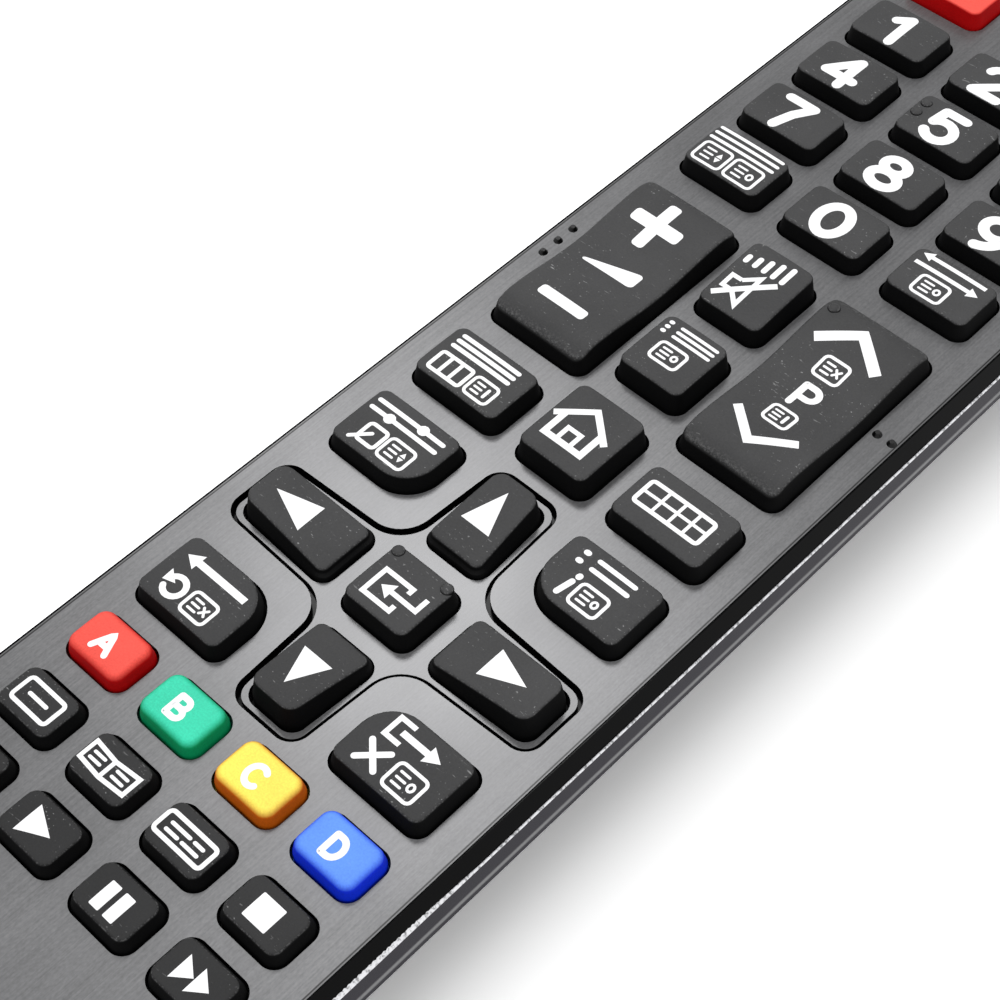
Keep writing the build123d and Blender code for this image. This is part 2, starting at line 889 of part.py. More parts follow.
def battery_plates():
    """Two contacts at the front of the bay and one bridging contact at its back."""
    top = cell_axis + contact_height / 2
    plates = []
    for side in (-1, 1):
        x = side * cell_x
        half = contact_width / 2
        low = bay_front - contact_thickness
        plate = slab(x - half, x + half, low, bay_front, contact_low, top)
        tab = contact_tab / 2
        plates.append(plate + slab(x - tab, x + tab, low, bay_front, top, board_bottom))
    half = cell_x + contact_width / 2
    high = bay_back + contact_thickness
    plates.append(slab(-half, half, bay_back, high, contact_low, top))
    return plates


def battery_springs():
    """Coil springs between the contacts and the flat ends of the two cells."""
    length = spring_room - spring_wire
    coil = Helix(pitch=length / spring_turns, height=length, radius=spring_radius)
    section = Plane(origin=coil @ 0, z_dir=coil % 0) * Circle(spring_wire / 2)
    spring = sweep(section, path=coil, is_frenet=True)
    start = contact_thickness + contact_touch + spring_wire / 2
    left = Pos(-cell_x, bay_back + start, cell_axis) * Rot(-90, 0, 0) * spring
    right = Pos(cell_x, bay_front - start, cell_axis) * Rot(90, 0, 0) * spring
    return [left, right]


def write(name, shape):
    """Write a node's solids to its own file."""
    pieces = shape if isinstance(shape, list) else [shape]
    solids = [solid for piece in pieces for solid in piece.solids()]
    export_step(Compound(children=solids), f"parts/{name}.step")


for one in all_keys:
    write(one["name"], [one["at"] * key_body(one)] + [one["at"] * pill for pill in key_pills(one)])

for build in (
    top_shell, faceplate, pad_plate, ir_window, bottom_shell, battery_cover, keypad_mat,
    circuit_board, ir_led, controller_chip, resonator, capacitor, driver_transistor,
    chip_resistors, batteries, battery_plates, battery_springs, case_screws,
):
    write(build.__name__, build())

print(f"body {body_width:.2f} x {body_length:.2f} x {panel_top:.2f}")
hinge_x = field_half - rocker_across / 2
print(f"rocker hinges at x {hinge_x:.3f} y {rows['rocker']:.3f} z {flange_bottom:.3f}")
print(f"cover leaves its rails after {cover_front - tail:.1f}")
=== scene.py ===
"""The looks of a slim remote control: moulded rubber keys, white legends and brushed panel, built
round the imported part. Lengths in the functions are millimetres, and meshes are made in metres."""

import json

import bmesh
import bpy
import numpy as np
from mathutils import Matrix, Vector


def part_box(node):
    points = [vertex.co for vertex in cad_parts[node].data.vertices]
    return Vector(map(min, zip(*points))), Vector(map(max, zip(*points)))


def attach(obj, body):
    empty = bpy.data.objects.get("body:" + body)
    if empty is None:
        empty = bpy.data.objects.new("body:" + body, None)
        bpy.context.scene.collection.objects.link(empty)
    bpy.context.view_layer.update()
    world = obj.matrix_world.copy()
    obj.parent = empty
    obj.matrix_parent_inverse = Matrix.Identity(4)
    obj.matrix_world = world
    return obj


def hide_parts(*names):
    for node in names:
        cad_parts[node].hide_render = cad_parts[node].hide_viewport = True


bl_info = {
    "name": "Remote control looks",
    "version": (1, 0, 0),
    "blender": (4, 5, 0),
    "location": "3D View > Sidebar > Remote",
    "description": "Keys, legends, finishes and stage of a slim remote control",
    "category": "Object",
}

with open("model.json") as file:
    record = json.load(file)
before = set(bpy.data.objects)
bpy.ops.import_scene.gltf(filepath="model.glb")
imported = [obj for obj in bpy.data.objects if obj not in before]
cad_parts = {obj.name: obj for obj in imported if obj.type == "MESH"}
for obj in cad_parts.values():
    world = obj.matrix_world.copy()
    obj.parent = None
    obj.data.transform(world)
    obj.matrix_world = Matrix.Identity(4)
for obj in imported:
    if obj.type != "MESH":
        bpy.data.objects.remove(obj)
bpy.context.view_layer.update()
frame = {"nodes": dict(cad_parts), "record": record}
MM = 0.001
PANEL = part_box("top_shell")[1].z / MM
LIP = 0.3              # flange of a key beyond its opening
SIDE_GAP = 0.25        # between a key and its opening
KEY_ROUND = 1.6        # corner of a key in plan
KEY_EDGE = 0.3         # round along a key's upper edge
KEY_INSET = 0.6        # how far a key's side leans in
COLOURED_EDGE = 0.7
COLOURED_INSET = 0.42
ROCKER_EDGE = 0.4
BIG_ROUND = 4.2        # corner that faces the direction keys
ARROW_HALVES = (3.85, 3.2)   # half width of a direction key at its root and tip
ARROW_ROUNDS = (1.4, 1.9)    # its corners there
NECK = 0.5             # straight part of a key's side below the panel
BUMP = 0.3             # height of a fingertip mark
BUMP_RADIUS = 0.65
BUMP_FOOT = 0.2        # how deep it is rooted
FLANGE_TOP = 2.4       # below the panel
FLANGE_LOW = 3.0
PILL_LOW = 3.5
PILL_RADIUS = 1.6
HIGHLIGHT_LINE_DROP = 4.9        # from the panel down to the painted highlight line on the side
CREASE = 2.0           # from the panel down to the ledge between slope and side
BEAD = 0.12            # half width of the bright edge on that ledge, a painted highlight
BEAD_TAIL = 0.32       # half width of its ribbed stretch near the tail
RIBBED_FROM = -39.0    # where that stretch begins to swell, along the length
RIBBED_SWELL = 8.0     # length of its swelling
RIBBED_TO = -74.0      # where it has ended
RIBBED_FADE = 6.0
RIB_PITCH = 0.55
RIB_DEPTH = 0.18       # of the half width
PLAN_ROUND = 12.0      # corners of the housing in plan
BEAD_POINTS = {"arc": 90, "run": 640}   # along a corner and along a side
BEAD_SIDES = 8
BORDER = 0.14          # width of the strip round the film, painted paler as a reflection on the housing's rim
GROOVE_SHADE_LINE = 0.1      # width of the dark line inside it, painted shade of a groove
RIM_SHARE = 0.925      # of a plate's reach, beyond which its outer rim lies
FLOOR_DROP = 0.02      # of the floor below the underside, so that the two never share a plane
FLOOR_REACH = 3.0      # metres
# Heights of a sloped key's top at its near and far ends, above the panel
SLOPES = {"key_mute": (2.1, 2.9), "key_up": (1.0, 2.6), "key_down": (1.0, 2.6),
          "key_left": (1.0, 2.6), "key_right": (1.0, 2.6)}
# Quarter turns of the direction keys, the big corner of their neighbours, and fingertip marks
TURNS = {"key_up": 0, "key_left": 1, "key_down": 2, "key_right": 3}
CORNERS = {"key_tools": (-1, 1), "key_info": (1, 1), "key_return": (-1, -1), "key_exit": (1, -1)}
BUMPS = {"key_5": [(-3.9, 1.6), (-3.9, -0.2)], "key_enter": [(-3.1, 2.9), (3.1, 2.9)],
         "key_programme": [(-4.7, 9.9)]}
ROCKERS = ("key_volume", "key_programme")
# Painted shade that darkens the black keys' tops towards the tail, standing in for the light falling off
# there
TAIL_SHADE_DARKEST = -60.0    # along the length: where the painted shade on the key tops is deepest
TAIL_SHADE_ENDS = -30.0     # and where that painted shade ends
TAIL_SHADE_KEEPS = 0.5
ROCKER_RISE = 2.5      # crests of a rocker above the panel
ROCKER_DISH = 0.75     # fall from the crests to its middle
ROCKER_ROLL = 1.4      # fall from the crests to its ends
CREST_SHARE = 0.74     # crests, as a share of its half length
# From the middle of the enter key: the camera and the two lamps, in metres, and the camera's turn
CAMERA_PLACE = (0.0823, -0.0683, 0.1543)
CAMERA_TURN = (37.295, 1.122, 43.896)     # degrees about X, Y and Z
LENS, SENSOR = 75.0, 36.0
GLOW_PLACE = (-0.315, 0.278, 0.62)
OVERHEAD_PLACE = (-0.04, 0.04, 0.8)
COLOURED = {"key_power": "key_red", "key_a": "key_red", "key_b": "key_green",
            "key_c": "key_yellow", "key_d": "key_blue"}


class LegendSizes(bpy.types.PropertyGroup):
    """Sizes of the printed marks and the rubber keys."""

    lift: bpy.props.FloatProperty(
        name="Print height", description="How far a mark stands above its key",
        default=0.00002, min=0.0, unit="LENGTH")
    digit_stroke: bpy.props.FloatProperty(
        name="Digit stroke", description="Line width of the digits",
        default=0.00118, min=0.0001, unit="LENGTH")
    letter_stroke: bpy.props.FloatProperty(
        name="Letter stroke", description="Line width of the letters A to D",
        default=0.00062, min=0.0001, unit="LENGTH")
    icon_stroke: bpy.props.FloatProperty(
        name="Icon stroke", description="Line width of the small pictograms",
        default=0.00034, min=0.0001, unit="LENGTH")
    crown: bpy.props.FloatProperty(
        name="Key crown", description="Rise of a key's top towards its middle",
        default=0.00012, min=0.0, unit="LENGTH")
    panel_edge: bpy.props.FloatProperty(
        name="Panel edge", description="Width of the bevel round the panel's openings",
        default=0.00009, min=0.00001, unit="LENGTH")
    panel_rim: bpy.props.FloatProperty(
        name="Panel rim", description="Width of the round along the panel's outer rim",
        default=0.0002, min=0.00001, unit="LENGTH")


def colour(label, text, value):
    """A colour setting with its default."""
    return bpy.props.FloatVectorProperty(
        name=label, description=text, subtype="COLOR", size=4, min=0.0, max=1.0,
        default=(*value, 1.0))


class FinishColours(bpy.types.PropertyGroup):
    """Colours of the finishes."""

    panel: colour("Panel", "Brushed film of the key panel", (0.12, 0.12, 0.1235))
    shell: colour("Rim", "Glossy slope round the panel", (0.001, 0.001, 0.0012))
    # The side's paler tone is painted reflection on the same glossy black as the slope
    shell_side: colour("Side", "Upright side below the slope", (0.018, 0.016, 0.024))
    # A painted highlight along the side's lower edge
    worn: colour("Worn line", "Line along the side's lower edge", (0.22, 0.22, 0.225))
    # A painted reflection on the housing's rim
    strip: colour("Border strip", "Strip round the film's border line", (0.09, 0.09, 0.092))
    hull: colour("Lower housing", "Grained lower housing", (0.018, 0.018, 0.02))
    key: colour("Keys", "Tops of the black keys", (0.057, 0.057, 0.058))
    # Painted shade: the sides of the same rubber, darker than its tops
    key_side: colour("Key sides", "Sides of the black keys", (0.002, 0.002, 0.0022))
    # Each *_side colour below is painted shade: the sides of the same coloured rubber, darker than its top
    red: colour("Red key", "Tops of the red keys", (0.92, 0.1, 0.075))
    red_side: colour("Red key sides", "Sides of the red keys", (0.5, 0.002, 0.003))
    green: colour("Green key", "Top of the green key", (0.05, 0.66, 0.42))
    green_side: colour("Green key sides", "Sides of the green key", (0.002, 0.33, 0.12))
    yellow: colour("Yellow key", "Top of the yellow key", (0.97, 0.78, 0.12))
    yellow_side: colour("Yellow key sides", "Sides of the yellow key", (0.62, 0.12, 0.004))
    blue: colour("Blue key", "Top of the blue key", (0.12, 0.29, 0.92))
    blue_side: colour("Blue key sides", "Sides of the blue key", (0.004, 0.03, 0.75))
    legend: colour("Legends", "White print", (0.9, 0.9, 0.91))
    floor: colour("Floor", "Table that the remote lies on", (0.93, 0.93, 0.93))


# Surfaces


def ring(corners, radii, inset, arc=9, run=15):
    """A rounded convex outline drawn in by an inset: each side moves inwards along its normal, each
    corner keeps its centre while its radius shrinks, and points run along arcs and sides alike."""
    p = np.array(corners, float)
    side = np.roll(p, -1, 0) - p
    side /= np.linalg.norm(side, axis=1)[:, None]
    n1 = np.stack([side[:, 1], -side[:, 0]], 1)
    c1 = (n1 * p).sum(1) - inset
    n0, c0 = np.roll(n1, 1, 0), np.roll(c1, 1)
    det = n0[:, 0] * n1[:, 1] - n0[:, 1] * n1[:, 0]
    vertex = np.stack([c0 * n1[:, 1] - c1 * n0[:, 1], n0[:, 0] * c1 - n1[:, 0] * c0], 1) / det[:, None]
    radius = np.maximum(np.array(radii, float) - inset, 0.15)[:, None]
    centre = vertex - radius * (n0 + n1) / (1 + (n0 * n1).sum(1))[:, None]
    start = np.arctan2(n0[:, 1], n0[:, 0])
    sweep = (np.arctan2(n1[:, 1], n1[:, 0]) - start) % (2 * np.pi)
    angle = start[:, None] + sweep[:, None] * np.linspace(0, 1, arc)
    arcs = centre[:, None] + radius[:, None] * np.stack([np.cos(angle), np.sin(angle)], 2)
    step = np.linspace(0, 1, run + 2)[1:-1][None, :, None]
    runs = arcs[:, -1:] * (1 - step) + np.roll(arcs[:, :1], -1, 0) * step
    return np.concatenate([arcs, runs], 1).reshape(-1, 2)


def raised(points, height):
    """Plan points with a height, or heights, as points in space."""
    return np.column_stack([points, np.broadcast_to(height, len(points))])


def wrapped_faces(rows, columns):
    """Faces of a grid whose columns close on themselves."""
    first = np.arange(rows - 1)[:, None] * columns
    a = first + np.arange(columns)[None, :]
    b = first + np.roll(np.arange(columns), -1)[None, :]
    return np.stack([a, b, b + columns, a + columns], 2).reshape(-1, 4)


def build(name, grids, material, body, sharp=32.0, replaced=()):
    """One piece from closed grids of rows by columns of points, in millimetres: the poles are merged,
    the faces turned outwards, and edges steeper than an angle kept sharp."""
    points, faces, count = [], [], 0
    for grid in grids:
        rows, columns = grid.shape[:2]
        points.append(grid.reshape(-1, 3))
        faces.append(wrapped_faces(rows, columns) + count)
        count += rows * columns
    mesh = bpy.data.meshes.new(name)
    mesh.from_pydata((np.concatenate(points) * MM).tolist(), [], np.concatenate(faces).tolist())
    work = bmesh.new()
    work.from_mesh(mesh)
    bmesh.ops.remove_doubles(work, verts=work.verts, dist=2e-7)
    bmesh.ops.recalc_face_normals(work, faces=work.faces)
    work.to_mesh(mesh)
    work.free()
    mesh.materials.append(material)
    mesh.shade_smooth()
    mesh.set_sharp_from_angle(angle=np.radians(sharp))
    piece = bpy.data.objects.new(name, mesh)
    bpy.context.scene.collection.objects.link(piece)
    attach(piece, body)
    if replaced:
        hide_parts(*replaced)
    return piece


class KeyForm:
    """One key's place, outline and top, read from its solid. Its own axes have +Y towards the tip."""

    def __init__(self, name):
        low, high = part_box(name)
        self.name = name
        self.turn = TURNS.get(name, 0)
        self.centre = np.array([low.x + high.x, low.y + high.y]) / 2 / MM
        size = np.array([high.x - low.x, high.y - low.y]) / MM - 2 * LIP
        if name in ROCKERS:
            size[1] = (high.y - low.y) / MM + 2 * SIDE_GAP
        if self.turn % 2:
            size = size[::-1]
        self.size = size
        bump = BUMP if name in BUMPS else 0.0
        self.rise = high.z / MM - PANEL - bump
        self.crown = bpy.context.scene.legend_sizes.crown / MM
        self.edge = KEY_EDGE
        self.inset = KEY_INSET
        self.radii = [KEY_ROUND] * 4
        half = size / 2
        self.corners = [(-half[0], -half[1]), (half[0], -half[1]), (half[0], half[1]), (-half[0], half[1])]
        if name in TURNS:
            root, tip = ARROW_HALVES
            self.corners = [(-root, -half[1]), (root, -half[1]), (tip, half[1]), (-tip, half[1])]
            self.radii = np.repeat(ARROW_ROUNDS, 2)
        if name in CORNERS:
            x, y = CORNERS[name]
            inner = [(-1, -1), (1, -1), (1, 1), (-1, 1)].index((-x, -y))
            self.radii[inner] = BIG_ROUND
        if name in COLOURED and name != "key_power":
            self.edge = COLOURED_EDGE
            self.inset = COLOURED_INSET
        if name in ROCKERS:
            self.edge = ROCKER_EDGE

    def outline(self, inset):
        """The key's outline drawn in by an inset, with more points where the top is curved."""
        dense = 34 if self.name in ROCKERS else 15
        return ring(self.corners, self.radii, inset, run=dense)

    def top(self, points):
        """Height of the key's top above the panel: flat, sloped or dished, with a low crown."""
        half = self.size / 2
        along = points[:, 1] / half[1]
        if self.name in SLOPES:
            back, front = SLOPES[self.name]
            base = back + (front - back) * (along + 1) / 2
        elif self.name in ROCKERS:
            t = np.abs(along)
            dish = 0.5 + 0.5 * np.cos(np.pi * np.clip(t / CREST_SHARE, 0, 1))
            roll = np.clip((t - CREST_SHARE) / (1 - CREST_SHARE), 0, 1) ** 2
            base = ROCKER_RISE - ROCKER_DISH * dish - ROCKER_ROLL * roll
        else:
            base = np.full(len(points), self.rise)
        fall = np.clip(points[:, 0] / half[0], -1, 1) ** 2
        if self.name not in ROCKERS:
            fall = fall + np.clip(along, -1, 1) ** 2
        return base - self.crown * fall

    def placed(self, points):
        """Points in the key's own axes, turned to the row's axes and moved to the key's place."""
        c, s = [(1, 0), (0, 1), (-1, 0), (0, -1)][self.turn]
        x = points[..., 0] * c - points[..., 1] * s + self.centre[0]
        y = points[..., 0] * s + points[..., 1] * c + self.centre[1]
        return np.stack([x, y, points[..., 2] + PANEL], -1)

    def grid(self):
        """The key as a profile carried round its outline: flange, shank, drafted side, a quarter
        round at the edge, then the top drawn in to a pole."""
        foot = self.outline(SIDE_GAP if self.name in ROCKERS else -LIP)
        shank = self.outline(SIDE_GAP)
        rows = [raised(foot * share, -FLANGE_LOW) for share in (0, 0.5, 1)]
        rows += [raised(foot, -FLANGE_TOP), raised(shank, -FLANGE_TOP)]
        rows += [raised(shank, -NECK), raised(shank, 0)]
        for t in (0.25, 0.5, 0.75):
            at = self.outline(SIDE_GAP + (self.inset - SIDE_GAP) * t)
            rows.append(raised(at, t * (self.top(at) - self.edge)))
        for angle in np.radians(np.linspace(0, 90, 8)):
            at = self.outline(self.inset + self.edge * (1 - np.cos(angle)))
            rows.append(raised(at, self.top(at) - self.edge * (1 - np.sin(angle))))
        rim = self.outline(self.inset + self.edge)
        for share in (0.93, 0.82, 0.68, 0.5, 0.3, 0.12, 0):
            at = rim * share
            rows.append(raised(at, self.top(at)))
        return self.placed(np.array(rows))

    def lathe(self, place, radius, rows):
        """A turned form: rows of radius share and height, carried round a circle."""
        angle = np.linspace(0, 2 * np.pi, 24, endpoint=False)
        circle = np.stack([np.cos(angle), np.sin(angle)], 1) * radius
        made = [raised(circle * share + np.array(place), height) for share, height in rows]
        return self.placed(np.array(made))

    def bump(self, place):
        """A fingertip mark: a quarter round turned about its middle, rooted in the top."""
        base = self.top(np.array([place], float))[0]
        turn = np.radians(np.linspace(0, 90, 6))
        foot = base - BUMP_FOOT
        rows = [(0, foot), (1, foot)] + [(np.cos(a), base + BUMP * np.sin(a)) for a in turn]
        return self.lathe(place, BUMP_RADIUS, rows)

    def pill(self, place):
        """The contact pill under a key: a short cylinder from the flange down."""
        rows = [(0, -PILL_LOW), (1, -PILL_LOW), (1, -FLANGE_LOW), (0, -FLANGE_LOW)]
        return self.lathe(place, PILL_RADIUS, rows)


# Legends, as ribbons that lie on a key's top


def arc(cx, cy, rx, ry, start, end, count=15):
    """Points on an ellipse, from one angle to another in degrees."""
    t = np.radians(np.linspace(start, end, count))
    return np.stack([cx + rx * np.cos(t), cy + ry * np.sin(t)], 1)


def line(*points, step=0.7):
    """Points along straight runs, close enough together to follow a curved top."""
    made = []
    for a, b in zip(points[:-1], points[1:]):
        a, b = np.array(a, float), np.array(b, float)
        count = max(2, int(np.linalg.norm(b - a) / step) + 1)
        made.append(a + (b - a) * np.linspace(0, 1, count, endpoint=False)[:, None])
    made.append(np.array([points[-1]], float))
    return np.concatenate(made)


def box(x0, y0, x1, y1, radius=0.3):
    """A closed rounded frame."""
    corners = [(x0, y0), (x1, y0), (x1, y1), (x0, y1)]
    return ring(corners, [radius] * 4, 0, arc=5, run=4)


def sides(path, width, closed=False):
    """Left and right edges of a stroke: points half a width to each side of its line, with a
    half round at each open end."""
    if closed:
        path = np.concatenate([path, path[:1]])
        run = np.roll(path[:-1], -1, 0) - np.roll(path[:-1], 1, 0)
        run = np.concatenate([run, run[:1]])
    else:
        run = np.gradient(path, axis=0)
    run = run / np.linalg.norm(run, axis=1)[:, None]
    half = np.full(len(path), width / 2)
    if not closed:
        turn = np.radians([90, 60, 30])
        ahead, wide = width / 2 * np.sin(turn), width / 2 * np.cos(turn)
        first = path[0] - run[0] * ahead[:, None]
        last = path[-1] + run[-1] * ahead[::-1, None]
        path = np.concatenate([first, path, last])
        run = np.concatenate([np.repeat(run[:1], 3, 0), run, np.repeat(run[-1:], 3, 0)])
        half = np.concatenate([wide, half, wide[::-1]])
    normal = np.stack([-run[:, 1], run[:, 0]], 1) * half[:, None]
    return path + normal, path - normal


def mitred(points, width, count=9):
    """Left and right edges of a bent stroke with square ends: at a bend both edges lie on the line
    that halves the angle between the two runs."""
    p = np.array(points, float)
    run = np.diff(p, axis=0)
    run /= np.linalg.norm(run, axis=1)[:, None]
    normal = np.stack([-run[:, 1], run[:, 0]], 1)
    bends = (normal[:-1] + normal[1:]) / (1 + (normal[:-1] * normal[1:]).sum(1))[:, None]
    out = np.concatenate([normal[:1], bends, normal[-1:]]) * width / 2
    share = np.linspace(0, 1, count)[:, None]
    made = []
    for edge in (p + out, p - out):
        runs = [a * (1 - share) + b * share for a, b in zip(edge[:-1], edge[1:])]
        made.append(np.concatenate([runs[0]] + [r[1:] for r in runs[1:]]))
    return made


def ribbon(form, left, right, lift, sink=0.08, across=4):
    """A thin closed strip between two edges, its upper face a print's height above the key."""
    share = np.linspace(0, 1, across + 1)[None, :, None]
    flat = left[:, None] * (1 - share) + right[:, None] * share
    height = form.top(flat.reshape(-1, 2)).reshape(flat.shape[:2])
    upper = np.concatenate([flat, (height + lift)[..., None]], 2)
    lower = np.concatenate([flat, (height - sink)[..., None]], 2)[:, ::-1]
    tube = np.concatenate([upper, lower], 1)
    middle = tube.mean(1, keepdims=True)
    cap0, cap1 = np.repeat(middle[:1], tube.shape[1], 1), np.repeat(middle[-1:], tube.shape[1], 1)
    return form.placed(np.concatenate([cap0, tube, cap1]))


class Pen:
    """Collects the marks of one key."""

    def __init__(self, form, sizes):
        self.form = form
        self.lift = sizes.lift / MM
        self.thin = sizes.icon_stroke / MM
        self.grids = []

    def stroke(self, path, width=None, closed=False):
        """A line with round ends, or a closed one."""
        left, right = sides(np.array(path, float), width or self.thin, closed)
        self.grids.append(ribbon(self.form, left, right, self.lift))

    def bent(self, points, width):
        """A stroke with square ends and sharp bends."""
        left, right = mitred(points, width)
        self.grids.append(ribbon(self.form, left, right, self.lift))

    def rectangle(self, x0, y0, x1, y1, round_=0.3):
        """A filled bar with rounded corners."""
        turn = np.radians(np.linspace(0, 90, 5))
        ends, draws = round_ * (1 - np.cos(turn)), round_ * (1 - np.sin(turn))
        middle = np.linspace(y0 + round_, y1 - round_, 12)[1:-1]
        y = np.concatenate([y0 + ends, middle, y1 - ends[::-1]])
        draw = np.concatenate([draws, np.zeros(len(middle)), draws[::-1]])
        left, right = np.stack([x0 + draw, y], 1), np.stack([x1 - draw, y], 1)
        self.grids.append(ribbon(self.form, left, right, self.lift, across=6))

    def head(self, x, y, way, reach, half):
        """A filled arrowhead: its base centred on a point, its tip along a direction in degrees."""
        ahead = np.array([np.cos(np.radians(way)), np.sin(np.radians(way))])
        aside = np.array([-ahead[1], ahead[0]]) * half
        rows = np.linspace(0, 1, 9)[:, None]
        base, tip = np.array([x, y]), np.array([x, y]) + ahead * reach
        left = (base + aside) * (1 - rows) + tip * rows
        right = (base - aside) * (1 - rows) + tip * rows
        self.grids.append(ribbon(self.form, left, right, self.lift, across=6))

    def triangle(self, x, base, apex, half):
        """A filled triangle: its base across X, its tip straight above or below the middle."""
        rows = np.linspace(0, 1, 9)[:, None]
        tip = np.array([x, apex])
        left = np.array([x - half, base]) * (1 - rows) + tip * rows
        right = np.array([x + half, base]) * (1 - rows) + tip * rows
        self.grids.append(ribbon(self.form, left, right, self.lift, across=6))

    def page(self, x0, y0, x1, y1, mark="diamond"):
        """A page sign: a rounded frame, three text lines and a mark beside them."""
        self.stroke(box(x0, y0, x1, y1, 0.5), self.thin, closed=True)
        w, h = x1 - x0, y1 - y0
        for share in (0.27, 0.5, 0.73):
            y = y0 + h * share
            self.stroke(line((x0 + w * 0.2, y), (x0 + w * 0.5, y)), self.thin * 0.75)
        cx, cy = x0 + w * 0.72, y0 + h * 0.5
        if mark == "diamond":
            self.triangle(cx, cy + 0.08, cy + h * 0.26, w * 0.1)
            self.triangle(cx, cy - 0.08, cy - h * 0.26, w * 0.1)
        elif mark == "ring":
            self.stroke(arc(cx, cy, w * 0.09, h * 0.14, 0, 336, 12), self.thin * 0.75, closed=True)
        elif mark == "bar":
            self.stroke(line((cx, cy - h * 0.2), (cx, cy + h * 0.2)), self.thin)
        elif mark == "cross":
            aside, above = w * 0.1, h * 0.15
            for way in (-1, 1):
                ends = (cx - aside, cy + way * above), (cx + aside, cy - way * above)
                self.stroke(line(*ends), self.thin * 0.75)


def digit(pen, number, sizes, x=-0.3, y=-0.3):
    """A rounded digit, 5.6 mm high, drawn as strokes."""
    w = sizes.digit_stroke / MM
    shapes = {
        "0": [(arc(0, 0, 1.6, 2.22, 0, 350, 36), True)],
        "1": [(line((0.5, -2.25), (0.5, 2.25)), False), (line((0.5, 2.25), (-0.9, 1.15)), False)],
        "2": [(np.concatenate([arc(0, 0.95, 1.5, 1.3, 165, -30),
                               line((1.03, 0.05), (-1.45, -2.2))]), False),
              (line((-1.5, -2.25), (1.6, -2.25)), False)],
        "3": [(arc(-0.05, 1.15, 1.35, 1.1, 160, -90), False),
              (arc(-0.05, -1.1, 1.6, 1.15, 90, -160), False)],
        "4": [(line((0.75, -2.25), (0.75, 2.25)), False), (line((0.75, 2.25), (-1.75, -0.95)), False),
              (line((-1.75, -0.95), (1.75, -0.95)), False)],
        "5": [(line((1.4, 2.25), (-1.1, 2.25)), False), (line((-1.1, 2.25), (-1.35, 0.1)), False),
              (arc(-0.05, -0.75, 1.6, 1.5, 145, -150, 20), False)],
        "6": [(arc(0, -0.85, 1.55, 1.4, 0, 350, 30), True),
              (arc(1.3, -0.6, 2.85, 2.95, 175, 100, 12), False)],
        "7": [(line((-1.6, 2.25), (1.6, 2.25)), False),
              (line((1.6, 2.25), (0.3, 0.1), (-0.5, -2.25)), False)],
        "8": [(arc(0, 1.18, 1.3, 1.07, 0, 350, 28), True), (arc(0, -1.08, 1.6, 1.17, 0, 350, 30), True)],
        "9": [(arc(0, 0.85, 1.55, 1.4, 0, 350, 30), True),
              (arc(-1.3, 0.6, 2.85, 2.95, -5, -80, 12), False)],
    }
    for path, closed in shapes[number]:
        pen.stroke(path + np.array([x, y]), w, closed)


def letter(pen, sign, width, x, y, scale):
    """A bold capital drawn as strokes, about 2 units high."""
    shapes = {
        "A": [line((-0.85, -1), (0, 1), (0.85, -1), step=0.3), line((-0.5, -0.35), (0.5, -0.35), step=0.3)],
        "B": [line((-0.65, -1), (-0.65, 1), step=0.3),
              np.concatenate([line((-0.65, 1), (0.1, 1), step=0.3), arc(0.1, 0.5, 0.5, 0.5, 90, -90, 9),
                              line((0.1, 0), (-0.65, 0), step=0.3)]),
              np.concatenate([line((-0.65, 0), (0.2, 0), step=0.3), arc(0.2, -0.5, 0.55, 0.5, 90, -90, 9),
                              line((0.2, -1), (-0.65, -1), step=0.3)])],
        "C": [arc(0.05, 0, 0.85, 1, 48, 312, 20)],
        "D": [line((-0.65, -1), (-0.65, 1), step=0.3),
              np.concatenate([line((-0.65, 1), (-0.1, 1), step=0.3), arc(-0.1, 0, 0.85, 1, 90, -90, 15),
                              line((-0.1, -1), (-0.65, -1), step=0.3)])],
        "P": [line((-0.6, -1), (-0.6, 1), step=0.3),
              np.concatenate([line((-0.6, 1), (0.15, 1), step=0.3), arc(0.15, 0.42, 0.6, 0.58, 90, -90, 11),
                              line((0.15, -0.16), (-0.6, -0.16), step=0.3)])],
    }
    for path in shapes[sign]:
        keep = np.concatenate([[True], np.linalg.norm(np.diff(path, axis=0), axis=1) > 1e-6])
        pen.stroke(path[keep] * scale + np.array([x, y]), width)


def arrow(pen, x0, x1, y, head, width):
    """A straight arrow along X that points from x0 to x1."""
    way = np.sign(x1 - x0)
    pen.bent([(x0, y), (x1 - way * head * 0.9, y)], width)
    pen.head(x1 - way * head, y, 0 if way > 0 else 180, head, 0.62 * head)


def mark_volume(pen, sizes):
    """Plus, minus and a rising wedge between them."""
    pen.rectangle(-1.28, 3.35, 0.18, 9.95, 0.45)
    pen.rectangle(-3.65, 5.8, 2.55, 7.45, 0.45)
    pen.rectangle(-3.4, -8.25, 2.6, -6.9, 0.4)
    rows = np.array([0, 0.02, 0.05, 0.2, 0.4, 0.6, 0.8, 0.9, 0.95, 0.98, 1.0])[:, None]
    drawn = np.array([0.12, 0.03, 0, 0, 0, 0, 0, 0, 0.06, 0.2, 0.42])[:, None] * np.array([[0, 1]])
    low = np.array([-3.5, -1.45]) * (1 - rows) + np.array([2.95, -1.3]) * rows + drawn
    high = np.array([-3.5, -1.1]) * (1 - rows) + np.array([2.95, 0.95]) * rows - drawn
    pen.grids.append(ribbon(pen.form, high, low, pen.lift, across=6))


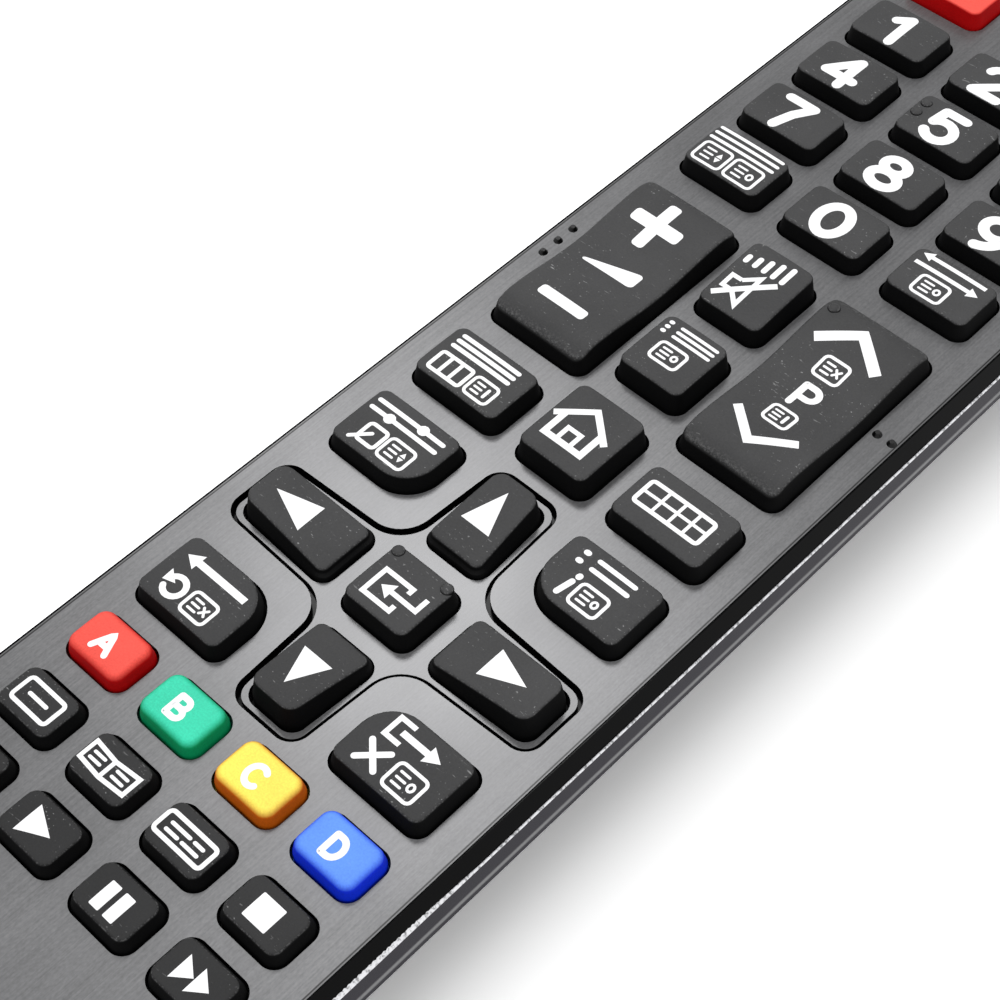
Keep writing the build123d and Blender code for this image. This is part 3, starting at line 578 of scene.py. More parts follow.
def mark_programme(pen, sizes):
    """Two chevrons, a P between them and a page sign on each side of it."""
    pen.bent([(-3.95, 5.85), (-0.3, 8.95), (3.6, 5.75)], 1.2)
    pen.bent([(-3.85, -5.75), (-0.3, -8.65), (3.55, -5.75)], 0.95)
    pen.page(-1.5, 2.35, 1.45, 4.95, "cross")
    pen.page(-1.4, -5.35, 1.4, -3.0, "bar")
    letter(pen, "P", 0.72, 0.1, -0.5, 1.42)


def mark_enter(pen, sizes):
    """An open frame and a bent arrow that runs into it."""
    w = 0.5
    pen.bent([(1.0, 0.1), (1.0, 0.75), (-2.4, 0.75), (-2.4, -2.3), (1.0, -2.3), (1.0, -1.6)], w)
    pen.bent([(2.75, 0.85), (2.75, -0.75), (-0.6, -0.75)], w)
    pen.head(-0.25, -0.75, 180, 1.3, 0.9)


def mark_tools(pen, sizes):
    """Two sliders over a page with a pen and a page sign."""
    for y, knob in ((1.1, -2.0), (2.25, 1.4)):
        pen.stroke(line((-4.4, y), (4.0, y)), 0.5)
        pen.stroke(arc(knob, y, 0.35, 0.35, 0, 330, 12), 0.55, closed=True)
    pen.stroke(box(-2.9, -2.6, -0.6, -0.3, 0.4), 0.42, closed=True)
    pen.stroke(line((-3.5, -2.9), (-1.9, -1.3)), 0.42)
    pen.page(-0.1, -2.75, 3.1, -0.2, "diamond")


def mark_menu(pen, sizes):
    """Three bars over a divided frame and a page sign."""
    for y in (0.85, 1.65, 2.45):
        pen.stroke(line((-4.0, y), (3.3, y)), 0.5)
    pen.stroke(box(-4.1, -2.7, 0.0, -0.3, 0.3), 0.42, closed=True)
    for x in (-2.75, -1.4):
        pen.stroke(line((x, -2.5), (x, -0.5)), 0.42)
    pen.page(0.6, -2.7, 3.5, -0.3, "bar")


def mark_hub(pen, sizes):
    """A house with a door."""
    w = 0.7
    pen.bent([(-3.6, -0.1), (-0.4, 2.65), (2.8, -0.1)], w)
    pen.bent([(-2.65, 0.6), (-2.65, -2.4), (1.85, -2.4), (1.85, 0.6)], w)
    pen.bent([(-1.2, -2.3), (-1.2, -0.6), (0.4, -0.6), (0.4, -2.3)], 0.5)


def mark_guide(pen, sizes):
    """A grid of two rows and four columns."""
    pen.stroke(box(-4.1, -1.35, 3.5, 1.6, 0.35), 0.45, closed=True)
    for x in (-1.9, 0.0, 1.75):
        pen.stroke(line((x, -1.2), (x, 1.45)), 0.34)
    pen.stroke(line((-3.9, 0.15), (3.3, 0.15)), 0.34)


def mark_info(pen, sizes):
    """A small i under two dotted bars, and a page sign."""
    pen.stroke(line((-1.6, 1.25), (2.6, 1.25)), 0.5)
    pen.stroke(line((-1.6, 2.4), (2.6, 2.4)), 0.5)
    for y in (1.25, 2.4):
        pen.stroke(line((-3.2, y), (-3.0, y)), 0.6)
    pen.stroke(line((-2.35, -2.6), (-2.0, -0.9)), 0.62)
    pen.stroke(line((-1.86, -0.15), (-1.84, -0.05)), 0.66)
    pen.page(-1.1, -2.75, 2.1, -0.25, "ring")


def mark_return(pen, sizes):
    """A straight arrow over a turning arrow and a page sign."""
    arrow(pen, 3.7, -4.0, 1.6, 1.5, 0.75)
    pen.stroke(arc(-2.2, -1.6, 1.1, 1.1, 140, -150, 18), 0.62)
    pen.head(-3.1, -0.85, 235, 1.1, 0.85)
    pen.page(-0.3, -2.9, 2.7, -0.45, "cross")


def mark_exit(pen, sizes):
    """An arrow out of an open frame, over a cross and a page sign."""
    arrow(pen, -1.9, 2.7, 1.75, 1.5, 0.65)
    pen.bent([(-1.2, 0.7), (-3.0, 0.7), (-3.0, 2.8), (-1.2, 2.8)], 0.5)
    pen.stroke(line((-3.3, -2.6), (-1.0, -0.4)), 0.6)
    pen.stroke(line((-3.3, -0.4), (-1.0, -2.6)), 0.6)
    pen.page(0.1, -2.9, 3.4, -0.2, "ring")


def mark_list(pen, sizes):
    """Three dotted bars over a page sign."""
    for y in (1.6, 2.3, 3.0):
        pen.stroke(line((-1.5, y), (2.9, y)), 0.38)
        pen.stroke(line((-2.9, y), (-2.75, y)), 0.46)
    pen.page(-1.9, -1.8, 1.4, 0.6, "ring")


def mark_mute(pen, sizes):
    """A crossed loudspeaker and a row of rising bars."""
    for x, top in ((-2.9, 2.4), (-1.75, 2.75), (-0.6, 3.1), (0.55, 3.45), (1.7, 3.75)):
        pen.stroke(line((x, 1.75), (x, top)), 0.6)
    pen.bent([(-1.5, -2.1), (-2.7, -2.1), (-2.7, -0.5), (-1.5, -0.5)], 0.5)
    pen.bent([(-1.5, -0.5), (-0.1, 0.8), (-0.1, -3.4), (-1.5, -2.1)], 0.5)
    pen.bent([(-3.0, -3.5), (1.7, 1.1)], 0.65)


def mark_text(pen, sizes):
    """Three bars over two page signs."""
    for y in (0.95, 1.85, 2.75):
        pen.stroke(line((-4.3, y), (3.9, y)), 0.42)
    pen.page(-4.1, -2.75, -0.5, 0.15, "diamond")
    pen.page(0.1, -2.75, 3.7, 0.15, "ring")


def mark_previous(pen, sizes):
    """Two arrows that pass each other, over a page sign."""
    arrow(pen, 3.6, -4.0, 2.4, 1.1, 0.5)
    arrow(pen, -4.0, 3.6, 0.95, 1.1, 0.5)
    pen.page(-2.2, -2.55, 1.2, 0.0, "ring")


def mark_manual(pen, sizes):
    """An open book with lines on its pages."""
    for side in (-1, 1):
        pen.bent([(-0.1, 0.7), (-0.1 + side * 2.8, 1.0), (-0.1 + side * 2.8, -1.0), (-0.1, -1.25)], 0.42)
        for y in (0.2, -0.45):
            pen.stroke(line((-0.1 + side * 0.8, y), (-0.1 + side * 2.1, y)), 0.32)
    pen.stroke(line((-0.1, 0.7), (-0.1, -1.25)), 0.42)


def mark_subtitle(pen, sizes):
    """A frame with two rows of broken bars."""
    pen.stroke(box(-3.0, -1.2, 2.8, 1.1, 0.4), 0.42, closed=True)
    for x0, x1, y in ((-2.0, 0.2, 0.25), (0.8, 1.8, 0.25), (-2.0, -0.6, -0.5), (0.0, 1.8, -0.5)):
        pen.stroke(line((x0, y), (x1, y)), 0.36)


def mark_size(pen, sizes):
    """A frame with a bar in its middle."""
    pen.stroke(box(-2.3, -1.3, 2.3, 1.3, 0.4), 0.42, closed=True)
    pen.stroke(line((-1.1, 0), (1.1, 0)), 0.4)


def mark_stop(pen, sizes):
    """A square."""
    pen.rectangle(-1.5, -1.35, 1.15, 1.25, 0.12)


def mark_pause(pen, sizes):
    """Two upright bars."""
    for x in (-1.5, 0.2):
        pen.rectangle(x, -1.6, x + 1.15, 1.1, 0.12)


def mark_play(pen, sizes):
    """A triangle that points along the row."""
    pen.head(-1.5, -0.1, 0, 3.0, 1.55)


def mark_skip(pen, way):
    """Two triangles in a row that point one way."""
    for x in (-1.7, 0.1):
        pen.head(way * x, -0.1, 0 if way > 0 else 180, 1.7, 1.3)


def mark_power(pen, sizes):
    """An open ring with a bar through its gap."""
    pen.stroke(arc(0, -0.15, 1.65, 1.65, 60, -240, 26), 0.5)
    pen.stroke(line((0, 0.1), (0, 1.9)), 0.5)


def mark_source(pen, sizes):
    """An open frame and an arrow that runs into it."""
    pen.bent([(1.4, 1.5), (-2.4, 1.5), (-2.4, -1.5), (1.4, -1.5)], 0.45)
    arrow(pen, 3.4, -0.9, 0.0, 1.2, 0.5)


MARKS = {
    "key_volume": mark_volume, "key_programme": mark_programme, "key_enter": mark_enter,
    "key_tools": mark_tools, "key_menu": mark_menu, "key_hub": mark_hub, "key_guide": mark_guide,
    "key_info": mark_info, "key_return": mark_return, "key_exit": mark_exit, "key_list": mark_list,
    "key_mute": mark_mute, "key_text": mark_text, "key_previous": mark_previous,
    "key_manual": mark_manual, "key_subtitle": mark_subtitle, "key_size": mark_size,
    "key_stop": mark_stop, "key_pause": mark_pause, "key_play": mark_play,
    "key_rewind": lambda pen, sizes: mark_skip(pen, -1),
    "key_forward": lambda pen, sizes: mark_skip(pen, 1),
    "key_power": mark_power, "key_source": mark_source,
    "key_up": lambda pen, sizes: pen.triangle(-0.15, -1.45, 3.05, 1.75),
    "key_down": lambda pen, sizes: pen.triangle(0.15, -1.4, 2.65, 1.75),
    "key_left": lambda pen, sizes: pen.triangle(0.0, -0.85, 3.75, 1.72),
    "key_right": lambda pen, sizes: pen.triangle(-0.1, -1.35, 3.1, 1.72),
}
for _sign in "abcd":
    MARKS["key_" + _sign] = (lambda pen, sizes, s=_sign: letter(
        pen, s.upper(), sizes.letter_stroke / MM, -0.22, -0.15, 1.05))
for _number in range(10):
    MARKS[f"key_{_number}"] = lambda pen, sizes, n=str(_number): digit(pen, n, sizes)


# Shader groups


def group(name, inputs, outputs):
    """An empty shader node group with named sockets."""
    tree = bpy.data.node_groups.new(name, "ShaderNodeTree")
    for label, kind, default in inputs:
        socket = tree.interface.new_socket(name=label, in_out="INPUT", socket_type=kind)
        socket.default_value = default
    for label, kind in outputs:
        tree.interface.new_socket(name=label, in_out="OUTPUT", socket_type=kind)
    return tree, tree.nodes.new("NodeGroupInput"), tree.nodes.new("NodeGroupOutput")


FLOAT, COLOUR, VECTOR = "NodeSocketFloat", "NodeSocketColor", "NodeSocketVector"


def object_coordinates(tree, scale):
    """Object coordinates times a scale for each axis."""
    coordinates = tree.nodes.new("ShaderNodeTexCoord")
    mapping = tree.nodes.new("ShaderNodeMapping")
    mapping.inputs["Scale"].default_value = scale
    tree.links.new(coordinates.outputs["Object"], mapping.inputs["Vector"])
    return mapping.outputs["Vector"]


def noise(tree, vector, scale, detail=3.0, roughness=0.55):
    """A noise texture's value."""
    node = tree.nodes.new("ShaderNodeTexNoise")
    node.inputs["Scale"].default_value = scale
    node.inputs["Detail"].default_value = detail
    node.inputs["Roughness"].default_value = roughness
    tree.links.new(vector, node.inputs["Vector"])
    return node.outputs["Fac"]


def remap(tree, value, low, high, to_low=0.0, to_high=1.0):
    """A value mapped from one range to another and clamped."""
    node = tree.nodes.new("ShaderNodeMapRange")
    for socket, number in zip(node.inputs[1:5], (low, high, to_low, to_high)):
        socket.default_value = number
    tree.links.new(value, node.inputs[0])
    return node.outputs[0]


def maths(tree, operation, a, b):
    """One operation on two values, each a socket or a number."""
    node = tree.nodes.new("ShaderNodeMath")
    node.operation = operation
    for socket, value in zip(node.inputs, (a, b)):
        if isinstance(value, (int, float)):
            socket.default_value = value
        else:
            tree.links.new(value, socket)
    return node.outputs[0]


def mix(tree, factor, a, b, blend="MIX"):
    """Two colours mixed by a factor, each a socket or a value."""
    node = tree.nodes.new("ShaderNodeMix")
    node.data_type = "RGBA"
    node.blend_type = blend
    for socket, value in zip((node.inputs[0], node.inputs[6], node.inputs[7]), (factor, a, b)):
        if isinstance(value, (int, float, tuple)):
            socket.default_value = value
        else:
            tree.links.new(value, socket)
    return node.outputs[2]


def grain_group():
    """Fine grain: a colour that wavers round its own value, a roughness and a height."""
    tree, given, made = group(
        "Moulded grain",
        [("Colour", COLOUR, (0.5, 0.5, 0.5, 1)), ("Roughness", FLOAT, 0.5), ("Waver", FLOAT, 0.15)],
        [("Colour", COLOUR), ("Roughness", FLOAT), ("Height", FLOAT)])
    vector = object_coordinates(tree, (1, 1, 1))
    fine = noise(tree, vector, 5200, 2.0)
    broad = noise(tree, vector, 120, 3.0)
    sum_ = maths(tree, "ADD", maths(tree, "MULTIPLY", fine, 0.45), maths(tree, "MULTIPLY", broad, 0.55))
    centred = maths(tree, "SUBTRACT", sum_, 0.5)
    swing = maths(tree, "MULTIPLY", given.outputs["Waver"], 4.0)
    gain = maths(tree, "ADD", maths(tree, "MULTIPLY", centred, swing), 1.0)
    scaled = tree.nodes.new("ShaderNodeVectorMath")
    scaled.operation = "SCALE"
    tree.links.new(given.outputs["Colour"], scaled.inputs[0])
    tree.links.new(gain, scaled.inputs["Scale"])
    tree.links.new(scaled.outputs[0], made.inputs["Colour"])
    rough = maths(tree, "ADD", given.outputs["Roughness"], maths(tree, "MULTIPLY", centred, 0.25))
    tree.links.new(rough, made.inputs["Roughness"])
    tree.links.new(fine, made.inputs["Height"])
    return tree


def top_group():
    """How far a surface faces up, from 0 on a wall to 1 on a top, specks of dust that lie there, and
    the broken pale line of a rubbed upper edge."""
    tree, _, made = group("Top and dust", [], [("Top", FLOAT), ("Dust", FLOAT), ("Edge", FLOAT)])
    geometry = tree.nodes.new("ShaderNodeNewGeometry")
    split = tree.nodes.new("ShaderNodeSeparateXYZ")
    tree.links.new(geometry.outputs["Normal"], split.inputs[0])
    top = remap(tree, split.outputs["Z"], 0.4, 0.995)
    turned = maths(tree, "MULTIPLY", remap(tree, split.outputs["Z"], 0.94, 0.86),
                   remap(tree, split.outputs["Z"], 0.55, 0.72))
    vector = object_coordinates(tree, (1, 1, 1))
    specks = remap(tree, noise(tree, vector, 3400, 1.0), 0.70, 0.78)
    fibres = remap(tree, noise(tree, object_coordinates(tree, (1, 4.5, 1)), 800, 2.0), 0.69, 0.76)
    patches = remap(tree, noise(tree, vector, 140, 2.0), 0.40, 0.62)
    dust = maths(tree, "MULTIPLY", maths(tree, "MAXIMUM", specks, fibres), patches)
    tree.links.new(top, made.inputs["Top"])
    tree.links.new(maths(tree, "MULTIPLY", dust, top), made.inputs["Dust"])
    broken = remap(tree, noise(tree, vector, 4200, 2.0, 0.8), 0.46, 0.66)
    tree.links.new(maths(tree, "MULTIPLY", turned, broken), made.inputs["Edge"])
    return tree


def brushing_group():
    """Brushed film: fine lines along Y in colour, roughness and height."""
    tree, given, made = group(
        "Lengthwise brushing", [("Colour", COLOUR, (0.5, 0.5, 0.5, 1)), ("Roughness", FLOAT, 0.4)],
        [("Colour", COLOUR), ("Roughness", FLOAT), ("Height", FLOAT)])
    lines = noise(tree, object_coordinates(tree, (1, 0.012, 1)), 6200, 1.0, 0.5)
    specks = noise(tree, object_coordinates(tree, (1, 0.5, 1)), 5000, 2.0, 0.6)
    cloud = noise(tree, object_coordinates(tree, (1, 1, 1)), 90, 3.0)
    sum_ = maths(tree, "ADD", maths(tree, "MULTIPLY", lines, 0.45), maths(tree, "MULTIPLY", specks, 0.55))
    gain = remap(tree, sum_, 0.3, 0.7, 0.78, 1.22)
    gain = maths(tree, "MULTIPLY", gain, remap(tree, cloud, 0.3, 0.7, 0.9, 1.1))
    scaled = tree.nodes.new("ShaderNodeVectorMath")
    scaled.operation = "SCALE"
    tree.links.new(given.outputs["Colour"], scaled.inputs[0])
    tree.links.new(gain, scaled.inputs["Scale"])
    tree.links.new(scaled.outputs[0], made.inputs["Colour"])
    rough = maths(tree, "ADD", given.outputs["Roughness"], remap(tree, sum_, 0.3, 0.7, -0.02, 0.02))
    tree.links.new(rough, made.inputs["Roughness"])
    tree.links.new(sum_, made.inputs["Height"])
    return tree


GROUPS = {}


def placed_group(tree, name):
    """One of the shared groups, placed in a material."""
    node = tree.nodes.new("ShaderNodeGroup")
    node.node_tree = GROUPS[name]
    return node


def material(name, roughness=0.5, metallic=0.0, specular=0.5, **fixed):
    """A new material with its Principled shader's uniform values set on the shader itself."""
    made = bpy.data.materials.new(name)
    made.use_nodes = True
    shader = made.node_tree.nodes["Principled BSDF"]
    shader.inputs["Roughness"].default_value = roughness
    shader.inputs["Metallic"].default_value = metallic
    shader.inputs["Specular IOR Level"].default_value = specular
    for label, value in fixed.items():
        shader.inputs[label.replace("_", " ")].default_value = value
    return made, made.node_tree, shader


def bump_into(tree, shader, height, strength, distance):
    """A height led through a bump node into the shader's normal."""
    node = tree.nodes.new("ShaderNodeBump")
    node.inputs["Strength"].default_value = strength
    node.inputs["Distance"].default_value = distance
    tree.links.new(height, node.inputs["Height"])
    tree.links.new(node.outputs["Normal"], shader.inputs["Normal"])


def grained(name, base, roughness, waver=0.12, bump=0.15, **fixed):
    """A moulded finish with fine grain."""
    made, tree, shader = material(name, roughness, **fixed)
    node = placed_group(tree, "grain")
    node.inputs["Colour"].default_value = tuple(base)
    node.inputs["Roughness"].default_value = roughness
    node.inputs["Waver"].default_value = waver
    tree.links.new(node.outputs["Colour"], shader.inputs["Base Color"])
    tree.links.new(node.outputs["Roughness"], shader.inputs["Roughness"])
    bump_into(tree, shader, node.outputs["Height"], bump, 0.00002)
    return made


def height_and_facing(tree):
    """Object coordinates and the normal, each as its X, Y and Z."""
    place = tree.nodes.new("ShaderNodeSeparateXYZ")
    tree.links.new(object_coordinates(tree, (1, 1, 1)), place.inputs[0])
    geometry = tree.nodes.new("ShaderNodeNewGeometry")
    facing = tree.nodes.new("ShaderNodeSeparateXYZ")
    tree.links.new(geometry.outputs["Normal"], facing.inputs[0])
    return place.outputs, facing.outputs


def rubber(name, top_colour, shaded_side_colour, roughness=0.62, specular=0.12, dust=0.7, wear=0.2,
           tail_shaded=False):
    """Silicone rubber: its sides painted darker than its top as shade, dust on its top, and its upper
    edges rubbed. With the tail shade, the tops darken towards the tail as painted shade."""
    made, tree, shader = material(name, roughness, specular=specular)
    grain = placed_group(tree, "grain")
    facing = placed_group(tree, "top")
    grain.inputs["Roughness"].default_value = roughness
    grain.inputs["Waver"].default_value = 0.24
    pale = facing.outputs["Top"]
    if tail_shaded:
        # Painted shade: the tops darken towards the tail
        place, _ = height_and_facing(tree)
        use = remap(tree, place["Y"], TAIL_SHADE_DARKEST * MM, TAIL_SHADE_ENDS * MM, TAIL_SHADE_KEEPS, 1.0)
        pale = maths(tree, "MULTIPLY", pale, use)
    # Painted shade: surfaces that turn away from facing up take the darker side colour
    base = mix(tree, pale, tuple(shaded_side_colour), tuple(top_colour))
    tree.links.new(base, grain.inputs["Colour"])
    speck = tuple(0.5 * c + 0.3 for c in tuple(top_colour)[:3]) + (1.0,)
    specks = maths(tree, "MULTIPLY", facing.outputs["Dust"], dust)
    rubbed = maths(tree, "MULTIPLY", facing.outputs["Edge"], wear)
    dusted = mix(tree, maths(tree, "MAXIMUM", specks, rubbed), grain.outputs["Colour"], speck)
    tree.links.new(dusted, shader.inputs["Base Color"])
    tree.links.new(grain.outputs["Roughness"], shader.inputs["Roughness"])
    bump_into(tree, shader, grain.outputs["Height"], 0.25, 0.00003)
    return made


def film_masks(tree):
    """Two masks of the panel: 1 on its own level face inside the border line, 0 on turned edges,
    walls and raised pips; and 1 on the border strip outside that line. Where the first mask is 0, the
    panel's finish paints near-black shade on the border line, walls and turned edges; the strip is
    painted paler as a reflection on the housing's rim."""
    place, facing = height_and_facing(tree)
    level = remap(tree, facing["Z"], 0.8, 0.98)
    low = remap(tree, place["Z"], (PANEL + 0.06) * MM, (PANEL + 0.03) * MM)
    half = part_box("faceplate")[1]
    to_side = maths(tree, "SUBTRACT", half.x, maths(tree, "ABSOLUTE", place["X"], 0.0))
    to_end = maths(tree, "SUBTRACT", half.y, maths(tree, "ABSOLUTE", place["Y"], 0.0))
    to_edge = maths(tree, "MINIMUM", to_side, to_end)
    inside = remap(tree, to_edge, (BORDER + GROOVE_SHADE_LINE) * MM, (BORDER + 1.6 * GROOVE_SHADE_LINE) * MM)
    strip = remap(tree, to_edge, BORDER * MM, 0.8 * BORDER * MM)
    film = maths(tree, "MULTIPLY", maths(tree, "MULTIPLY", level, low), inside)
    return film, strip


def rim_finish(colours):
    """Glossy black that is deep on the slope and a little paler on the upright side, that paler tone a
    painted reflection, with a painted highlight line along the side's lower edge."""
    made, tree, shader = material("Glossy rim", 0.14, specular=0.05)
    grain = placed_group(tree, "grain")
    grain.inputs["Roughness"].default_value = 0.14
    grain.inputs["Waver"].default_value = 0.1
    place, facing = height_and_facing(tree)
    upright = remap(tree, facing["Z"], 0.3, 0.1)
    # Painted highlight: a paler line along the side's lower edge
    line_at = (PANEL - HIGHLIGHT_LINE_DROP) * MM
    off = maths(tree, "ABSOLUTE", maths(tree, "SUBTRACT", place["Z"], line_at), 0.0)
    worn = remap(tree, off, 0.5 * MM, 0.15 * MM)
    worn = maths(tree, "MULTIPLY", worn, upright)
    side = mix(tree, worn, tuple(colours.shell_side), tuple(colours.worn))
    # The upright side's paler colour is painted reflection
    tree.links.new(mix(tree, upright, tuple(colours.shell), side), grain.inputs["Colour"])
    tree.links.new(grain.outputs["Colour"], shader.inputs["Base Color"])
    tree.links.new(grain.outputs["Roughness"], shader.inputs["Roughness"])
    bump_into(tree, shader, grain.outputs["Height"], 0.03, 0.00002)
    return made


def bead_finish():
    """A painted highlight for the ledge: bright, with short dark breaks across it."""
    made, tree, shader = material("Bright edge", 0.3, metallic=0.15)
    breaks = noise(tree, object_coordinates(tree, (1, 1, 0.2)), 2600, 2.0, 0.7)
    shade = mix(tree, remap(tree, breaks, 0.36, 0.52), (0.3, 0.3, 0.31, 1), (0.92, 0.92, 0.95, 1))
    tree.links.new(shade, shader.inputs["Base Color"])
    tree.links.new(remap(tree, breaks, 0.3, 0.7, 0.4, 0.15), shader.inputs["Roughness"])
    bump_into(tree, shader, breaks, 0.2, 0.00003)
    return made


FINISHES = {}


def make_finishes(colours):
    """Every finish of the remote, made once and kept by the record's slot name."""
    GROUPS["grain"] = grain_group()
    GROUPS["top"] = top_group()
    GROUPS["brushing"] = brushing_group()
    # The black keys' side colour is painted shade
    key_side = tuple(colours.key_side)
    FINISHES["key_rubber"] = rubber("Black silicone", colours.key, key_side, tail_shaded=True)
    for hue in ("red", "green", "yellow", "blue"):
        # The side colours are painted shade of the same rubber
        top, side = getattr(colours, hue), getattr(colours, hue + "_side")
        FINISHES["key_" + hue] = rubber(hue.title() + " silicone", top, side, 0.5, 0.12, 0.12, 0.0)
    FINISHES["legend_white"] = grained("White print", colours.legend, 0.5, waver=0.03, bump=0.1)
    made, tree, shader = material("Brushed film", 0.3, metallic=0.3, specular=0.5)
    node = placed_group(tree, "brushing")
    node.inputs["Colour"].default_value = tuple(colours.panel)
    node.inputs["Roughness"].default_value = 0.3
    film, strip = film_masks(tree)
    # Near-black rim colour where the film mask is 0: painted shade on the border line, walls and turned
    # edges, and also on raised pips; the paler strip colour along the edge is a painted reflection
    dark = mix(tree, strip, tuple(colours.shell), tuple(colours.strip))
    tree.links.new(mix(tree, film, dark, node.outputs["Colour"]), shader.inputs["Base Color"])
    tree.links.new(node.outputs["Roughness"], shader.inputs["Roughness"])
    bump_into(tree, shader, node.outputs["Height"], 0.03, 0.00001)
    FINISHES["panel_grey"] = made
    FINISHES["shell_black"] = rim_finish(colours)
    # Painted highlight for the ledge between slope and side
    FINISHES["bead"] = bead_finish()
    FINISHES["shell_lower"] = grained("Grained housing", colours.hull, 0.5, waver=0.15, bump=0.5,
                                      specular=0.25)
    FINISHES["window_dark"] = grained("Dark window", (0.012, 0.004, 0.008, 1), 0.06, waver=0.05, bump=0.01,
                                      Coat_Weight=0.5)
    FINISHES["mat_rubber"] = grained("Mat silicone", (0.3, 0.3, 0.31, 1), 0.6)
    FINISHES["board_green"] = grained("Solder resist", (0.02, 0.16, 0.06, 1), 0.35, waver=0.2)
    FINISHES["diode_clear"] = grained("Clear epoxy", (0.8, 0.84, 0.9, 1), 0.05, waver=0.02, bump=0.0,
                                      Transmission_Weight=0.9)
    FINISHES["chip_black"] = grained("Moulded package", (0.02, 0.02, 0.02, 1), 0.55)
    FINISHES["ceramic_blue"] = grained("Dipped coating", (0.04, 0.12, 0.45, 1), 0.3)
    FINISHES["sleeve_black"] = grained("Shrink sleeve", (0.02, 0.02, 0.04, 1), 0.35)
    FINISHES["contact_steel"] = grained("Nickel plate", (0.72, 0.7, 0.66, 1), 0.22, waver=0.08,
                                        metallic=1.0)
    FINISHES["screw_steel"] = grained("Zinc plate", (0.5, 0.5, 0.52, 1), 0.35, waver=0.15, metallic=1.0)
    FINISHES["cell_wrap"] = grained("Plain wrap", (0.3, 0.31, 0.33, 1), 0.28, waver=0.04, metallic=0.3)


# Operators


class REMOTE_OT_finishes(bpy.types.Operator):
    """Make the finishes and give them to the solids that stay in view"""

    bl_idname = "remote.finishes"
    bl_label = "Finish the solids"

    def execute(self, context):
        make_finishes(context.scene.finish_colours)
        for entry in frame["record"]["subparts"]:
            solid = frame["nodes"][entry["node"]]
            solid.data.materials.clear()
            solid.data.materials.append(FINISHES[entry["material_slot"]])
        return {"FINISHED"}


class REMOTE_OT_keys(bpy.types.Operator):
    """Mould the rubber keys: a profile carried round each opening's outline"""

    bl_idname = "remote.keys"
    bl_label = "Rubber keys"

    def execute(self, context):
        for name in sorted(n for n in frame["nodes"] if n.startswith("key_")):
            form = KeyForm(name)
            grids = [form.grid()]
            grids += [form.bump(place) for place in BUMPS.get(name, [])]
            pills = [(0, -8.6), (0, 8.6)] if name in ROCKERS else [(0, 0)]
            grids += [form.pill(place) for place in pills]
            slot = COLOURED.get(name, "key_rubber")
            build(name + "_moulded", grids, FINISHES[slot], name, replaced=(name,))
        return {"FINISHED"}


class REMOTE_OT_legends(bpy.types.Operator):
    """Print the digits, letters and pictograms: thin strips that follow each key's top"""

    bl_idname = "remote.legends"
    bl_label = "Legends"

    def execute(self, context):
        sizes = context.scene.legend_sizes
        for name, draw in MARKS.items():
            if name not in frame["nodes"]:
                raise RuntimeError(f"no key named {name}")
            pen = Pen(KeyForm(name), sizes)
            draw(pen, sizes)
            build(name.replace("key_", "legend_"), pen.grids, FINISHES["legend_white"], name,
                  sharp=50.0)
        return {"FINISHED"}


class REMOTE_OT_bead(bpy.types.Operator):
    """Lay the bright edge on the ledge as a painted highlight: a small round section carried round the
    housing's plan, wider and ribbed on a stretch near the tail"""

    bl_idname = "remote.bead"
    bl_label = "Bright edge"

    def execute(self, context):
        low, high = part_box("top_shell")
        x, y = high.x / MM, high.y / MM
        corners = [(-x, -y), (x, -y), (x, y), (-x, y)]
        outer = ring(corners, [PLAN_ROUND] * 4, 0, **BEAD_POINTS)
        inwards = ring(corners, [PLAN_ROUND] * 4, 1, **BEAD_POINTS) - outer
        along = outer[:, 1]
        swelling = np.clip((RIBBED_FROM - along) / RIBBED_SWELL, 0, 1)
        near_tail = swelling * np.clip((along - RIBBED_TO) / RIBBED_FADE, 0, 1)
        ribs = 1 + RIB_DEPTH * near_tail * np.sin(2 * np.pi * along / RIB_PITCH)
        half = (BEAD + (BEAD_TAIL - BEAD) * near_tail) * ribs
        rows = []
        for turn in np.linspace(0, 2 * np.pi, BEAD_SIDES + 1):
            path = outer + inwards * (half * (1 - np.cos(turn)))[:, None]
            rows.append(raised(path, PANEL - CREASE + half * np.sin(turn)))
        build("edge_bead", [np.array(rows)], FINISHES["bead"], "housing")
        return {"FINISHED"}


def at_rim(point, reach):
    """Whether a point lies on a plate's outer rim: in the last share of its reach from the middle."""
    return max(abs(point.x) / reach[0], abs(point.y) / reach[1]) > RIM_SHARE


